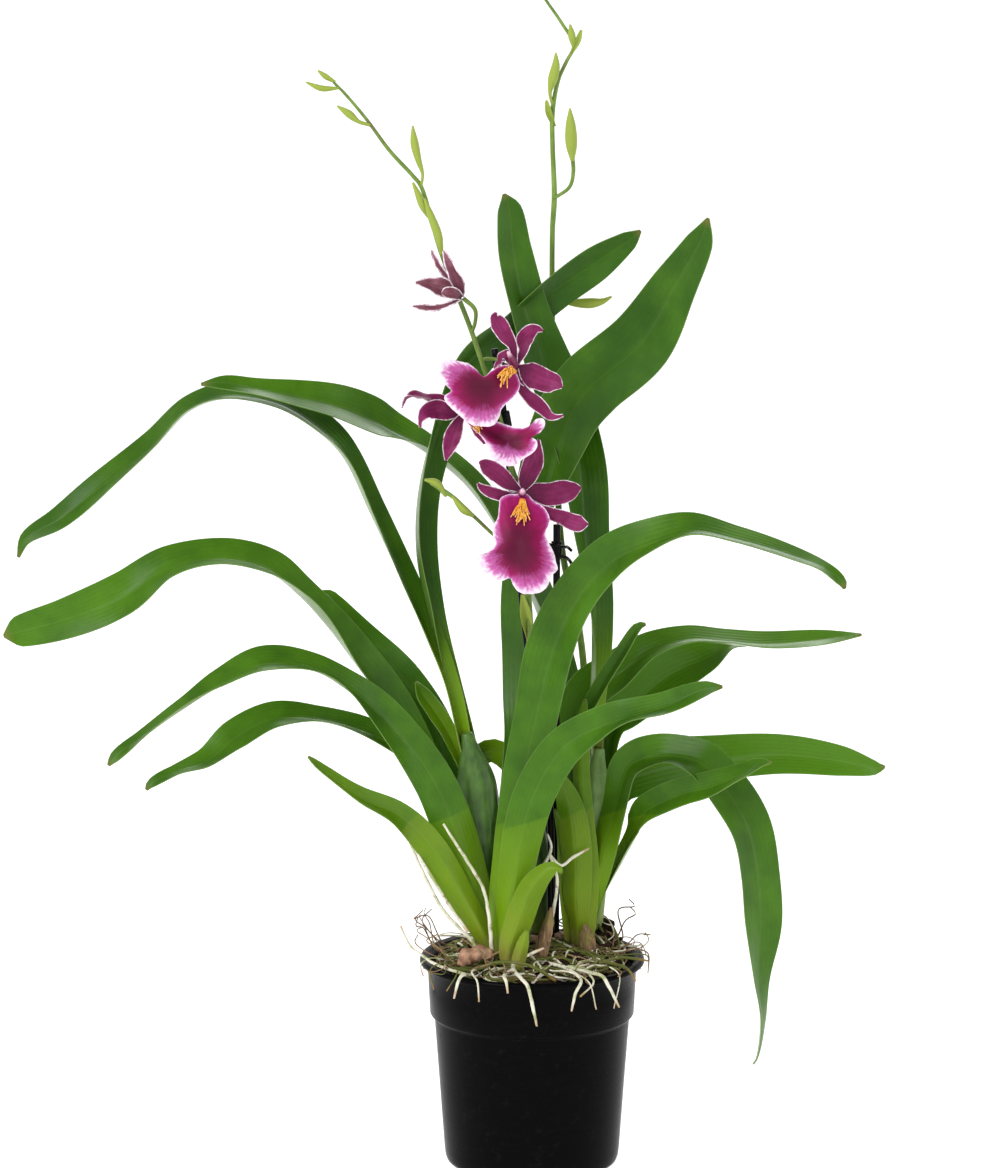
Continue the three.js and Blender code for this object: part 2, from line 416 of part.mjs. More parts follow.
const LEAVES = {
  leaf_left_tall: [[-35, 12, 223, 12, 15, 60], [-42, 15, 255, 14, 45, 42], [-52, 21, 282, 18, 60, 34],
    [-65, 30, 311, 20, 65, 28], [-81, 39, 346, 24, 72, 26], [-96, 44, 376, 26, 75, 22],
    [-111, 50, 391, 26, 70, 22], [-135, 54, 405, 26, 72, 20], [-166, 55, 409, 26, 78, 20],
    [-186, 53, 402, 26, 76, 20], [-206, 50, 382, 26, 68, 20], [-228, 46, 363, 22, 56, 18],
    [-253, 42, 342, 14, 30, 16], [-271, 39, 331, 7, 12, 12], [-275, 38, 321, 1.6, 12, 6]],
  leaf_left_rear: [[-31, 18, 223, 11, 12, 60], [-42, 22, 258, 14, 38, 48], [-50, 26, 294, 18, 60, 42],
    [-55, 30, 327, 22, 62, 40], [-53, 33, 361, 24, 54, 40], [-44, 40, 396, 24, 38, 38],
    [-30, 46, 425, 24, 28, 30], [-9, 52, 442, 24, 34, 26], [13, 56, 461, 22, 24, 22],
    [35, 58, 477, 20, 12, 18], [52, 60, 489, 11, 12, 16], [58, 60, 494, 1.6, 12, 10]],
  leaf_left_broad: [[-26, 20, 112, 9, 10, 58], [-30, 22, 140, 13, 12, 58], [-43, 23, 172, 17, 18, 50],
    [-49, 21, 188, 18, 22, 48], [-55, 20, 212, 20, 30, 44], [-69, 18, 243, 25, 50, 38],
    [-87, 9, 271, 28, 68, 32], [-103, -2, 296, 29, 78, 30], [-117, -9, 312, 29, 80, 26],
    [-134, -16, 326, 29, 74, 24], [-161, -24, 334, 29, 70, 22], [-189, -29, 329, 29, 58, 20],
    [-212, -33, 313, 26, 34, 16], [-240, -38, 301, 22, 14, 14], [-266, -41, 294, 16, 12, 10],
    [-273, -42, 292, 1.6, 12, 8]],
  leaf_left_curled: [[-24, 26, 113, 8, 12, 56], [-29, 27, 140, 13, 12, 56], [-38, 28, 176, 15, 24, 46],
    [-43, 31, 202, 18, 30, 36], [-49, 34, 226, 21, 22, 36], [-68, 40, 254, 22, 24, 28],
    [-89, 46, 277, 20, 50, 24], [-104, 51, 294, 12, 60, 24], [-109, 52, 299, 7, 58, 24],
    [-115, 53, 300, 1.6, 56, 20]],
  leaf_left_short: [[-30, 21, 192, 6, 12, 50], [-38, 24, 214, 9, 14, 40], [-45, 26, 229, 11, 18, 34],
    [-52, 27, 240, 11, 20, 30], [-58, 28, 248, 9, 18, 28], [-62, 28, 255, 1.6, 12, 16]],
  leaf_left_front: [[-19, -6, 113, 11, 12, -40], [-23, -6, 126, 18, 12, -40], [-28, -5, 138, 21, 12, -36],
    [-38, -6, 171, 24, 12, -24], [-51, -10, 207, 22, 14, -4], [-71, -18, 239, 22, 38, 20],
    [-92, -27, 264, 22, 68, 30], [-112, -36, 277, 22, 72, 24], [-140, -46, 281, 22, 64, 22],
    [-162, -54, 272, 21, 68, 22], [-181, -61, 260, 17, 80, 20], [-202, -66, 244, 11, 72, 16],
    [-214, -70, 234, 6, 28, 12], [-217, -71, 230, 1.6, 12, 8]],
  leaf_left_low: [[-26, 8, 113, 6, 20, 50], [-34, 8, 138, 8, 20, 50], [-40, 7, 165, 9, 30, 48],
    [-46, 6, 199, 13, 34, 38], [-54, 7, 212, 15, 38, 38], [-65, 8, 222, 17, 46, 34],
    [-77, 9, 229, 18, 56, 30], [-89, 9, 235, 20, 64, 26], [-112, 5, 242, 20, 74, 24],
    [-137, -2, 243, 20, 54, 22], [-157, -10, 234, 20, 40, 22], [-172, -18, 223, 17, 58, 20],
    [-187, -25, 218, 11, 66, 16], [-200, -28, 211, 5, 28, 12], [-202, -28, 208, 1.6, 12, 6]],
  leaf_left_sheath: [[-20, -15, 114, 10, 12, -40], [-27, -16, 129, 14, 12, -40],
    [-38, -17, 149, 17, 12, -32], [-53, -20, 175, 16, 20, -12], [-69, -26, 194, 15, 40, 14],
    [-89, -36, 207, 14, 64, 28], [-105, -44, 220, 10, 68, 26], [-112, -47, 226, 6, 64, 20],
    [-116, -49, 230, 1.6, 58, 10]],
  leaf_centre_broad: [[-14, 1, 113, 8, -10, 60], [-15, 1, 140, 14, -10, 58], [-15, 2, 165, 19, -10, 52],
    [-11, 4, 190, 21, -14, 46], [-9, 7, 208, 21, -20, 44], [-8, 12, 228, 23, -35, 42],
    [-9, 20, 250, 27, -48, 38], [-9, 26, 272, 29, -54, 36], [-9, 30, 296, 32, -58, 34],
    [-7, 31, 320, 35, -58, 34], [-3, 31, 343, 36, -50, 34], [4, 30, 363, 36, -36, 34],
    [12, 28, 384, 37, -20, 28], [21, 25, 403, 38, -14, 24], [31, 20, 416, 39, -12, 22],
    [56, 8, 439, 37, -12, 22], [73, -2, 469, 26, -12, 20], [86, -9, 493, 15, -12, 18],
    [90, -12, 505, 1.6, -12, 10]],
  leaf_centre_short: [[-1, 28, 185, 8, 12, 50], [-6, 27, 198, 11, 20, 40], [-12, 26, 212, 14, 20, 30],
    [-21, 26, 218, 14, 14, 26], [-29, 26, 215, 11, 12, 22], [-34, 26, 213, 1.6, 12, 10]],
  leaf_back_long: [[30, 38, 107, 7, 26, 58], [32, 46, 150, 13, 30, 55], [32, 49, 194, 17, 42, 50],
    [30, 51, 221, 20, 50, 44], [24, 55, 244, 22, 56, 40], [12, 58, 285, 26, 64, 38],
    [-7, 61, 326, 27, 68, 30], [-31, 64, 361, 27, 74, 28], [-55, 65, 380, 27, 78, 26],
    [-73, 64, 389, 27, 66, 22], [-84, 60, 395, 27, 52, 20], [-104, 48, 404, 24, 48, 18],
    [-124, 41, 409, 20, 50, 16], [-148, 39, 413, 14, 56, 14], [-164, 38, 415, 9, 40, 10],
    [-176, 38, 414, 1.6, 30, 6]],
  leaf_front_tall: [[-18, -14, 113, 11, -12, -44], [-17, -14, 125, 16, -12, -44],
    [-14, -14, 146, 23, -12, -38], [-11, -14, 164, 25, -12, -32], [-6, -15, 201, 24, -14, -18],
    [1, -19, 242, 26, -28, 6], [8, -26, 280, 29, -28, 22], [20, -36, 310, 29, -32, 26],
    [37, -48, 333, 29, -44, 24], [57, -60, 346, 29, -62, 22], [80, -70, 354, 28, -72, 20],
    [104, -78, 350, 24, -76, 20], [132, -85, 341, 16, -72, 16], [146, -88, 335, 11, -66, 12],
    [155, -88, 327, 5, -28, 10], [156, -88, 324, 1.6, -12, 6]],
  leaf_front_low: [[-14, -21, 113, 9, -12, -40], [-14, -21, 125, 15, -12, -40],
    [-11, -21, 142, 20, -12, -34], [-6, -23, 179, 22, -12, -20], [2, -27, 208, 22, -12, 0],
    [15, -34, 231, 22, -16, 18], [32, -45, 246, 21, -42, 28], [48, -55, 255, 21, -66, 24],
    [67, -63, 261, 17, -54, 22], [88, -70, 270, 8, -22, 18], [96, -72, 271, 1.6, -12, 8]],
  leaf_front_shoot: [[-13, -29, 113, 9, -12, -40], [-12, -29, 123, 15, -12, -40],
    [-7, -30, 139, 18, -12, -36], [0, -33, 157, 16, -16, -32], [8, -37, 167, 10, -20, -26],
    [13, -39, 169, 5, -18, -20], [15, -40, 166, 1.6, -14, -14]],
  leaf_front_bud: [[-9, -36, 112, 7, -12, -36], [-7, -36, 120, 9, -12, -36], [-5, -37, 128, 7, -12, -30],
    [-3, -37, 135, 1.6, -12, -10]],
  leaf_right_tall: [[35, 16, 216, 12, 30, 60], [36, 15, 242, 15, 58, 46], [38, 16, 272, 20, 56, 42],
    [37, 19, 300, 24, 48, 36], [32, 25, 334, 27, 34, 32], [27, 36, 372, 29, 16, 30],
    [16, 44, 408, 31, 12, 30], [8, 47, 427, 29, 18, 28], [-2, 48, 456, 25, 28, 26],
    [-9, 50, 484, 20, 16, 22], [-12, 52, 506, 14, 12, 20], [-15, 53, 514, 1.6, 12, 10]],
  leaf_right_grey: [[9, 38, 108, 7, -12, 58], [8, 39, 161, 12, -12, 58], [16, 38, 215, 22, -12, 42],
    [23, 36, 235, 26, -12, 36], [31, 35, 250, 27, -20, 32], [43, 33, 259, 26, -32, 30],
    [63, 35, 274, 25, -58, 26], [84, 36, 280, 25, -76, 22], [104, 35, 279, 25, -84, 20],
    [126, 33, 277, 23, -76, 18], [154, 29, 279, 14, -62, 14], [176, 26, 281, 1.6, -54, 6]],
  leaf_right_bright: [[34, 35, 107, 7, -12, 58], [38, 38, 162, 12, -20, 56], [38, 40, 190, 18, -30, 46],
    [38, 43, 210, 22, -42, 40], [42, 46, 229, 26, -38, 34], [52, 49, 237, 26, -26, 30],
    [74, 55, 254, 27, -16, 24], [95, 59, 264, 21, -38, 20], [108, 61, 270, 12, -68, 18],
    [117, 61, 269, 1.6, -74, 8]],
  leaf_right_curled: [[20, 10, 113, 6, -12, 54], [21, 10, 150, 8, -16, 50], [21, 10, 187, 9, -18, 46],
    [22, 9, 211, 10, -20, 40], [25, 7, 235, 10, -24, 40], [35, 4, 257, 10, -38, 32],
    [47, 4, 276, 8, -32, 28], [56, 6, 289, 5, -12, 24], [60, 7, 290, 1.6, -12, 20]],
  leaf_right_long: [[31, 22, 113, 7, -12, 58], [33, 23, 146, 11, -12, 56], [37, 25, 170, 15, -12, 48],
    [42, 28, 189, 20, -12, 40], [49, 30, 200, 26, -12, 32], [69, 29, 209, 30, -12, 26],
    [100, 26, 214, 26, -14, 20], [133, 22, 217, 23, -28, 16], [165, 18, 214, 17, -20, 14],
    [183, 14, 211, 8, -12, 10], [188, 12, 212, 1.6, -12, 6]],
  leaf_right_drooping: [[29, 7, 113, 7, -20, -40], [32, 6, 136, 9, -26, -36],
    [36, 4, 155, 14, -34, -28], [43, 1, 190, 18, -46, 10], [48, -3, 215, 21, -42, 30],
    [55, -6, 222, 23, -46, 32], [73, -14, 227, 25, -58, 28], [89, -21, 223, 26, -38, 24],
    [102, -25, 209, 26, -28, 22], [114, -30, 189, 26, -32, 18], [119, -35, 165, 26, -32, 16],
    [121, -39, 139, 26, -38, 16], [120, -42, 110, 21, -62, 16], [121, -43, 87, 14, -76, 12],
    [118, -42, 67, 5, -80, 10], [116, -42, 64, 1.6, -80, 6]],
  leaf_right_low: [[30, 10, 113, 7, -30, 54], [35, 10, 140, 9, -40, 50], [45, 8, 162, 11, -50, 46],
    [52, 3, 178, 13, -58, 40], [54, -5, 187, 15, -52, 36], [58, -12, 194, 17, -44, 32],
    [69, -21, 202, 18, -38, 28], [80, -29, 208, 18, -40, 26], [91, -37, 213, 18, -48, 26],
    [107, -48, 222, 13, -66, 20], [117, -55, 228, 6, -50, 14], [122, -58, 229, 1.6, -42, 10]],
  leaf_right_bent: [[25, 3, 113, 8, -12, -36], [25, 2, 127, 11, -12, -36], [24, 0, 141, 16, -12, -30],
    [24, -1, 158, 18, -12, -28], [23, -3, 175, 18, -12, -24], [21, -4, 190, 16, -12, -18],
    [15, -6, 208, 8, 12, 0], [9, -7, 215, 1.6, 12, 8]],
  leaf_right_pointed: [[29, 3, 113, 8, -12, -34], [30, 3, 138, 12, -12, -34], [30, 2, 157, 13, -12, -30],
    [29, 1, 176, 12, -14, -28], [27, 1, 196, 11, -16, -26], [26, 0, 215, 10, -18, -20],
    [26, 0, 232, 9, -12, -10], [28, 0, 251, 1.6, -12, 8]],
  leaf_right_stub: [[20, 3, 113, 6, -12, 50], [18, 0, 150, 10, -14, 38], [16, -1, 176, 8, -32, 32],
    [12, -2, 192, 1.6, -46, 10]],
};

const YOUNG_LEAVES = ['leaf_left_sheath', 'leaf_front_shoot', 'leaf_front_bud', 'leaf_right_bent',
  'leaf_right_pointed', 'leaf_right_stub'];
const LONG_LEAF = 200;

for (const [name, rows] of Object.entries(LEAVES)) {
  const places = new THREE.CatmullRomCurve3(rows.map(([x, y, z]) => new THREE.Vector3(x, y, z)));
  const steps = places.getLength() > LONG_LEAF ? 16 : 9;
  const colour = YOUNG_LEAVES.includes(name) ? COLOUR.youngLeaf : COLOUR.leaf;
  place(name, colour, (grow) => blade(rows, grow, { steps }), { roughness: 0.4 });
}

// Flowers. The lip is the widest part, five tepals stand behind it and the column hoods its base.
// A lip is given by its middle and its border.

const BLOOMS = {
  one: {
    column: [[-14, -13.6, 429, 1.5], [-10, -17.5, 430, 2.8], [-10, -21, 430.5, 2.6],
      [-11.5, -25, 434.5, 2], [-13, -27, 437.5, 0.9]],
    tepals: [
      [[-9.5, -19, 431, 3, 0, 0], [-12, -21, 442, 7, 8, 10], [-18, -23, 452, 9, 10, 12],
        [-19, -25, 457.5, 1.6, 10, 0]],
      [[-8.5, -18, 430.5, 3, 0, 0], [-4.5, -17, 442, 9, -10, 16], [0, -14, 447, 7, -20, 16],
        [5, -13, 447, 1.6, -20, 0]],
      [[-8.5, -18, 429, 3, 0, 0], [-3.5, -18, 425.5, 12, -8, 6], [7, -19, 421.5, 12, -10, 8],
        [12, -20, 420, 8, -10, 8], [15, -21, 418.5, 1.6, -10, 0]],
      [[-9, -18.5, 428, 3, 0, 0], [-5, -19.5, 417, 6, -8, 14], [3, -21.5, 409, 8, -10, 18],
        [9, -23, 404, 5, -12, 14], [15.5, -25, 404.5, 1.6, -10, 0]],
      [[-11, -19, 430.5, 3, 0, 0], [-13.5, -16, 434.5, 7, 30, 20], [-17, -13, 432, 7, 56, 16],
        [-20, -11, 426.5, 1.6, 60, 0]],
    ],
    centre: [-26, -36, 420],
    border: [[-7, -24, 420], [-13.5, -30, 411.5], [-17.5, -36, 405], [-20.5, -38, 401], [-29, -40, 400.5],
      [-38, -41, 406], [-45, -41, 413], [-42, -40, 418.5], [-47, -44, 426], [-46, -46, 435],
      [-39.5, -44, 434.5], [-31, -40, 431], [-25.5, -34, 425.5], [-20, -29, 429], [-13, -21, 431],
      [-8, -20.5, 429]],
    crest: [[-9, -24.5, 427, 2.4], [-12.5, -27, 427.5, 4], [-16, -30, 425.5, 3],
      [-19.5, -33, 424.5, 0.8]],
  },
  two: {
    column: [[-32.4, -14.6, 407, 1.4], [-35, -18, 405, 2.4], [-36, -22, 406, 2], [-35, -25, 410, 1]],
    tepals: [
      [[-36.5, -18, 406, 3, 0, 0], [-46, -19, 412.5, 5, 40, 10], [-58, -22, 414.5, 8, 62, 12],
        [-64, -26, 414, 6, 90, 12], [-67.5, -30, 409, 1.6, 110, 0]],
      [[-36.5, -18, 405, 3, 0, 0], [-44.5, -22, 406, 9, 0, 10], [-51, -26, 407.5, 10, 6, 12],
        [-57, -30, 404, 5, 18, 12], [-58, -32, 399, 1.6, 20, 0]],
      [[-36.5, -19, 404, 3, 0, 0], [-39.5, -21, 397.5, 8, 2, 10], [-42.5, -23, 390.5, 9, 6, 12],
        [-45, -25, 381, 1.6, 0, 0]],
      [[-34, -18, 406, 3, 0, 0], [-31, -18, 414, 7, 0, 10], [-28, -18, 421, 1.6, 0, 0]],
      [[-33, -19, 404, 3, 0, 0], [-28, -19, 396, 7, 0, 10], [-25, -20, 389, 1.6, 0, 0]],
    ],
    centre: [-13, -33, 392],
    border: [[-37, -20, 404], [-25, -25, 399.5], [-19, -27, 401.5], [-5.5, -32, 398.5], [4, -37, 404],
      [5, -37, 400], [-1.5, -34, 394.5], [2, -38, 390], [-4, -40, 384], [-12.5, -41, 380],
      [-21.5, -40, 385], [-25.5, -36, 393], [-33, -25.5, 398.5]],
    crest: [[-33, -24, 402, 1.2], [-30, -27, 401.5, 2.6], [-27, -29, 400.5, 2.2],
      [-25, -30.5, 399.5, 0.8]],
  },
  three: {
    column: [[-8.4, -14.8, 367, 1.5], [-6, -19, 363.5, 3], [-5.5, -23, 363.5, 2.6], [-5.5, -26, 365, 2],
      [-5.5, -27.5, 366.5, 0.9]],
    tepals: [
      [[-7, -19, 365, 3, 0, 0], [-14, -20, 370, 9, 4, 8], [-22, -22, 376, 9.5, 6, 10],
        [-28, -23, 380, 1.6, 0, 0]],
      [[-5.5, -19, 364.5, 3, 0, 0], [-3.5, -19, 370, 9, 0, 10], [0, -19, 379, 11, -8, 14],
        [3, -21, 391.5, 1.6, -10, 0]],
      [[-9, -19, 362, 3, 0, 0], [-16, -22, 362.5, 6.5, 10, 12], [-24, -25, 365.5, 6, 6, 12],
        [-28.5, -27, 369.5, 1.6, 0, 0]],
      [[-4.5, -19, 362.5, 3, 0, 0], [3, -18, 362.5, 12, -4, 8], [14.5, -17.5, 363.5, 13, -6, 8],
        [21, -18, 365, 9, -6, 8], [25, -18, 366, 1.6, 0, 0]],
      [[-5, -19.5, 361, 3, 0, 0], [7, -21.5, 353.5, 6.5, -5, 10], [18, -23.5, 350, 9, -8, 10],
        [25, -25, 348, 8.5, -8, 8], [28.5, -26, 348, 1.6, -4, 0]],
    ],
    centre: [-7.5, -39, 337.5],
    border: [[-9, -22, 363], [-17, -25, 361], [-18, -28, 352], [-20.5, -33, 342.5], [-19.5, -36, 338.5],
      [-29, -40, 332], [-25, -42, 325], [-16.5, -43, 321], [-12, -42, 322.5], [-7, -45, 315.5],
      [2, -46, 314.5], [8, -44, 320], [12.5, -42, 327], [10.5, -38, 335], [6.5, -33, 344.5],
      [8, -28, 352], [0, -24, 360]],
    crest: [[-5.5, -26, 361, 3], [-5.5, -28.5, 357, 4.8], [-6, -31.5, 352.5, 4], [-6.5, -34, 348.5, 1]],
  },
};

function petals(shapes, grow) {
  return shapes.map((rows) => {
    const steps = rows.length;
    return blade(rows, grow, { steps, middle: PETAL_MIDDLE, edge: PETAL_EDGE });
  });
}

for (const [name, { column, tepals, centre, border, crest }] of Object.entries(BLOOMS)) {
  place(`bloom_${name}`, COLOUR.petal, (grow) => fuse([
    stalk(column, grow, { steps: 4 }),
    ...petals(tepals, grow),
    lip(centre, border, grow),
  ]), { roughness: 0.6 });
  place(`crest_${name}`, COLOUR.crest, (grow) => stalk(crest, grow, { steps: 4 }), { roughness: 0.7 });
}

// The half-open flower: mauve tepals from one foot, still cupped round the lip
const HALF_OPEN = [
  [[-37, -14, 464.5, 3, 0, 10], [-38.5, -17, 471, 8, -24, 24], [-42.5, -18, 479.5, 6.5, -24, 26],
    [-46, -16, 488.5, 1.6, -10, 0]],
  [[-37, -15, 464.5, 3, 0, 10], [-46, -16, 469.5, 11, 16, 24], [-53, -17, 471.5, 8, 20, 26],
    [-60.5, -18, 472.5, 1.6, 10, 0]],
  [[-37, -16, 464.5, 3, 0, 0], [-41, -20, 467, 7.5, 0, -36], [-44.5, -21, 467.5, 7, 0, -36],
    [-47, -21, 467, 1.6, 0, -10]],
  [[-37, -15, 464, 2, 0, 0], [-43, -18, 461.5, 3, 0, 20], [-50.5, -20, 459.5, 4, 0, 24],
    [-58, -21, 460, 3.4, 0, 20], [-62, -21, 460.5, 1.6, 0, 0]],
  [[-38, -13, 467, 2, 0, 0], [-45.5, -12, 476, 3.2, 0, 20], [-49, -12, 481, 3.4, 0, 20],
    [-52.5, -12, 488.5, 1.6, 0, 0]],
];

place('flower_half_open', COLOUR.paleBud, (grow) => fuse(petals(HALF_OPEN, grow)), { roughness: 0.6 });

// Clips that hold a stem to its stake

const CLIPS = {
  clip_right: [
    [[13, 22, 323, 2.9], [13, 22, 332, 2.9]],
    [[8, 18.5, 331, 0.9], [13, 18, 330, 0.9], [17, 22, 329, 0.9], [19, 27, 328, 0.9],
      [21, 28.5, 326, 0.8]],
    [[13, 18.5, 325, 0.9], [17, 20, 324, 0.9], [20, 26, 321, 0.9], [22, 28, 317, 0.8]],
  ],
  clip_left: [
    [[-13.5, -2.5, 396, 2.8], [-15, -3, 404, 2.8]],
    [[-18, -4, 401, 0.9], [-19.6, -7, 401, 0.9], [-19.8, -10.5, 401, 0.9], [-18, -13.4, 400.5, 0.8]],
  ],
};

for (const [name, rods] of Object.entries(CLIPS)) {
  place(name, COLOUR.stake, (grow) => fuse(
    rods.map((rows) => stalk(rows, grow, { steps: rows.length - 1, sides: 8 })),
  ), { roughness: 0.3 });
}

// Aerial roots. Each body is one root with its branches.

const ROOTS = {
  root_left_high: { colour: COLOUR.root, branches: [
    [[-47, -15, 187, 0.6], [-40, -16, 176, 0.8], [-33, -17, 165, 0.9], [-26, -19, 153, 0.9],
      [-23, -24, 140, 1], [-22, -26, 130, 1.1], [-21, -26, 112, 1.1]],
  ] },
  root_left_low: { colour: COLOUR.root, branches: [
    [[-67, -20, 184, 0.5], [-58, -21, 163, 0.8], [-47, -22, 142, 0.9], [-38, -23, 132, 0.9],
      [-30, -24, 123, 1], [-26, -25, 110, 1]],
    [[-65, -22, 180, 0.5], [-54, -24, 162, 0.8], [-43, -25, 144, 0.8], [-34, -25, 131, 0.9]],
  ] },
  root_right_high: { colour: COLOUR.root, branches: [
    [[8, -13, 181, 0.5], [10, -13, 174, 0.7], [9, -13, 170, 0.9], [4, -14, 161, 0.8], [1, -15, 155, 0.5]],
    [[9, -13, 170, 0.8], [15, -13, 164, 0.8], [22, -10, 168, 0.8], [30, -8, 172, 0.5]],
    [[9, -13, 170, 0.8], [13, -16, 158, 0.8], [11, -17, 140, 0.9], [7, -18, 124, 0.9], [5, -19, 109, 0.9]],
  ] },
  root_front: { colour: COLOUR.root, branches: [
    [[-14, -30, 111, 1.1], [-10, -34, 116, 1.2], [-3, -36, 121, 1], [6, -36, 125, 0.6]],
    [[-10, -34, 116, 1.1], [-10, -46, 116, 1.1], [-6, -58, 114.5, 1], [-3, -62.5, 112, 0.9],
      [0, -62.5, 100, 0.9], [2, -61, 90, 0.5]],
    [[-10, -44, 116, 0.9], [-15, -54, 115, 0.9], [-14, -61, 114, 0.8], [-13, -63, 108, 0.5]],
  ] },
  root_rim_left: { colour: COLOUR.root, branches: [
    [[-30, -34, 110, 0.9], [-34, -45, 113, 0.9], [-37, -52, 114.5, 0.9], [-39, -55, 111.5, 0.8],
      [-41, -55, 103, 0.5]],
    [[-34, -45, 113, 0.9], [-45, -36, 114, 0.8], [-53, -25, 114.5, 0.8], [-58, -17, 116, 0.7],
      [-65, -10, 120, 0.6], [-70, -8, 130, 0.5]],
  ] },
  root_rim_green: { colour: COLOUR.mossyRoot, branches: [
    [[-46, -22, 110, 0.9], [-42, -30, 112.5, 1], [-30, -41, 114.5, 1], [-20, -45, 119.5, 0.9],
      [-6, -48, 120, 0.9], [4, -50, 116.5, 0.9], [12, -50, 111, 0.8]],
  ] },
  root_rim_right: { colour: COLOUR.root, branches: [
    [[0, -24, 112, 1], [5, -28, 115, 1], [16, -40, 116, 1], [28, -48, 115.5, 1],
      [36, -52, 114.2, 0.9], [40, -53, 108, 0.9], [45, -50, 97, 0.5]],
    [[16, -40, 116, 0.9], [22, -52, 115.5, 0.9], [25, -59, 113.5, 0.8], [22, -63, 108, 0.8],
      [20, -61, 98, 0.5]],
  ] },
  root_back_right: { colour: COLOUR.mossyRoot, branches: [
    [[30, -20, 110, 1], [36, -24, 114, 0.9], [44, -32, 115, 0.9], [50, -37, 113.8, 0.8],
      [54, -39, 108, 0.5]],
    [[36, -24, 114, 0.9], [46, -20, 115.5, 0.8], [55, -18, 114.5, 0.8], [61, -20, 114, 0.5]],
  ] },
};

for (const [name, { colour, branches }] of Object.entries(ROOTS)) {
  place(name, colour, (grow) => fuse(
    branches.map((rows) => stalk(rows, grow, { steps: rows.length > 5 ? 7 : 5 })),
  ), { roughness: 0.75 });
}

// Papery sheaths round the feet of the growths

const DRY_SHEATHS = {
  dry_sheath_left: [[-27, -22, 109, 8, 6, -36], [-28, -22, 115, 9, 6, -36], [-29, -22, 120, 7, 6, -20],
    [-31, -21, 125, 1.6, 6, -8]],
  dry_sheath_middle: [[3, -22, 109, 7, 0, -36], [5, -22, 121, 9, -10, -36], [8, -23, 133, 8, -20, -30],
    [10, -24, 144, 1.6, -20, -10]],
  dry_sheath_right: [[30, -5, 109, 11, 0, -36], [30, -5, 117, 11, 0, -36], [29, -4, 124, 8, 0, -20],
    [28, -4, 130, 1.6, 0, -8]],
};

for (const [name, rows] of Object.entries(DRY_SHEATHS)) {
  place(name, COLOUR.drySheath, (grow) => blade(rows, grow, { steps: 5 }), { roughness: 0.85 });
}

// Potting bark, filled up to a crown in the middle, with chips on top. It is cut round every stem.

const SOIL_FOOT = 3.6;
const SOIL_CENTRE = 116;
const SOIL_EDGE = 107;
const SOIL_RADIUS = 53;
const SOIL_RINGS = 4;
const MOUND = { x: 41, y: 22, height: 26, spread: 13 };
const RIPPLE = 0.9;
const CHIPS = 6;
const CHIP_REACH = 46;
const CHIP_SIZE = [[9, 15], [5, 9], [3, 5]];
const CHIP_TILT = 0.5;
const CHIP_LIFT = 0.4;
const CHIP_SEED = 7;

function soilHeight(x, y) {
  const out = Math.hypot(x, y) / SOIL_RADIUS;
  const fromMound = Math.hypot(x - MOUND.x, y - MOUND.y) / MOUND.spread;
  const mound = MOUND.height * Math.exp(-(fromMound ** 2)) * (1 - out ** 6);
  const ripple = RIPPLE * Math.sin(x / 5) * Math.cos(y / 6);
  return SOIL_CENTRE - (SOIL_CENTRE - SOIL_EDGE) * out ** 2 + mound + ripple;
}

function soilBody(grow) {
  const ring = (radius, height) => Array.from({ length: POT_SIDES }, (_, k) => {
    const angle = (2 * Math.PI * k) / POT_SIDES;
    const [x, y] = [radius * Math.cos(angle), radius * Math.sin(angle)];
    return new THREE.Vector3(x, y, height ?? soilHeight(x, y));
  });
  const rings = [
    ring(BASE_RADIUS - POT_WALL - 1 + grow, SOIL_FOOT - grow),
    ring(BODY_RADIUS_TOP - POT_WALL - 0.7 + grow, COLLAR_FOOT - 2),
    ring(COLLAR_RADIUS_BOTTOM - POT_WALL - 0.8 + grow, COLLAR_FOOT + 2.5),
    ...Array.from({ length: SOIL_RINGS }, (_, i) => ring(SOIL_RADIUS * (1 - i / SOIL_RINGS) + grow)),
  ];
  const n = POT_SIDES;
  const centre = rings.length * n;
  const crown = new THREE.Vector3(0, 0, soilHeight(0, 0));
  const underside = new THREE.Vector3(0, 0, SOIL_FOOT - grow);
  const triangles = [];
  for (let k = 0; k < n; k += 1) {
    const next = (k + 1) % n;
    for (let r = 0; r + 1 < rings.length; r += 1) {
      const [a, b] = [r * n + k, r * n + next];
      triangles.push([a, b, b + n], [a, b + n, a + n]);
    }
    triangles.push([centre - n + k, centre - n + next, centre], [next, k, centre + 1]);
  }
  return closedSkin([...rings.flat(), crown, underside], triangles);
}

function barkChips(grow) {
  let seed = CHIP_SEED;
  const random = (low = 0, high = 1) => {
    seed = (seed * 16807) % 2147483647;
    return low + ((high - low) * seed) / 2147483647;
  };
  return Array.from({ length: CHIPS }, () => {
    const size = CHIP_SIZE.map(([low, high]) => random(low, high) + 2 * grow);
    const reach = CHIP_REACH * Math.sqrt(random());
    const angle = random(0, 2 * Math.PI);
    const [x, y] = [reach * Math.cos(angle), reach * Math.sin(angle)];
    const chip = new THREE.BoxGeometry(...size);
    chip.rotateX(random(-CHIP_TILT, CHIP_TILT))
      .rotateY(random(-CHIP_TILT, CHIP_TILT))
      .rotateZ(random(0, Math.PI));
    return toSolid(chip.translate(x, y, soilHeight(x, y) + CHIP_LIFT));
  });
}

place('potting_bark', COLOUR.bark, (grow) => fuse([soilBody(grow), ...barkChips(grow)]), {
  roughness: 0.95,
});

export default orchid;
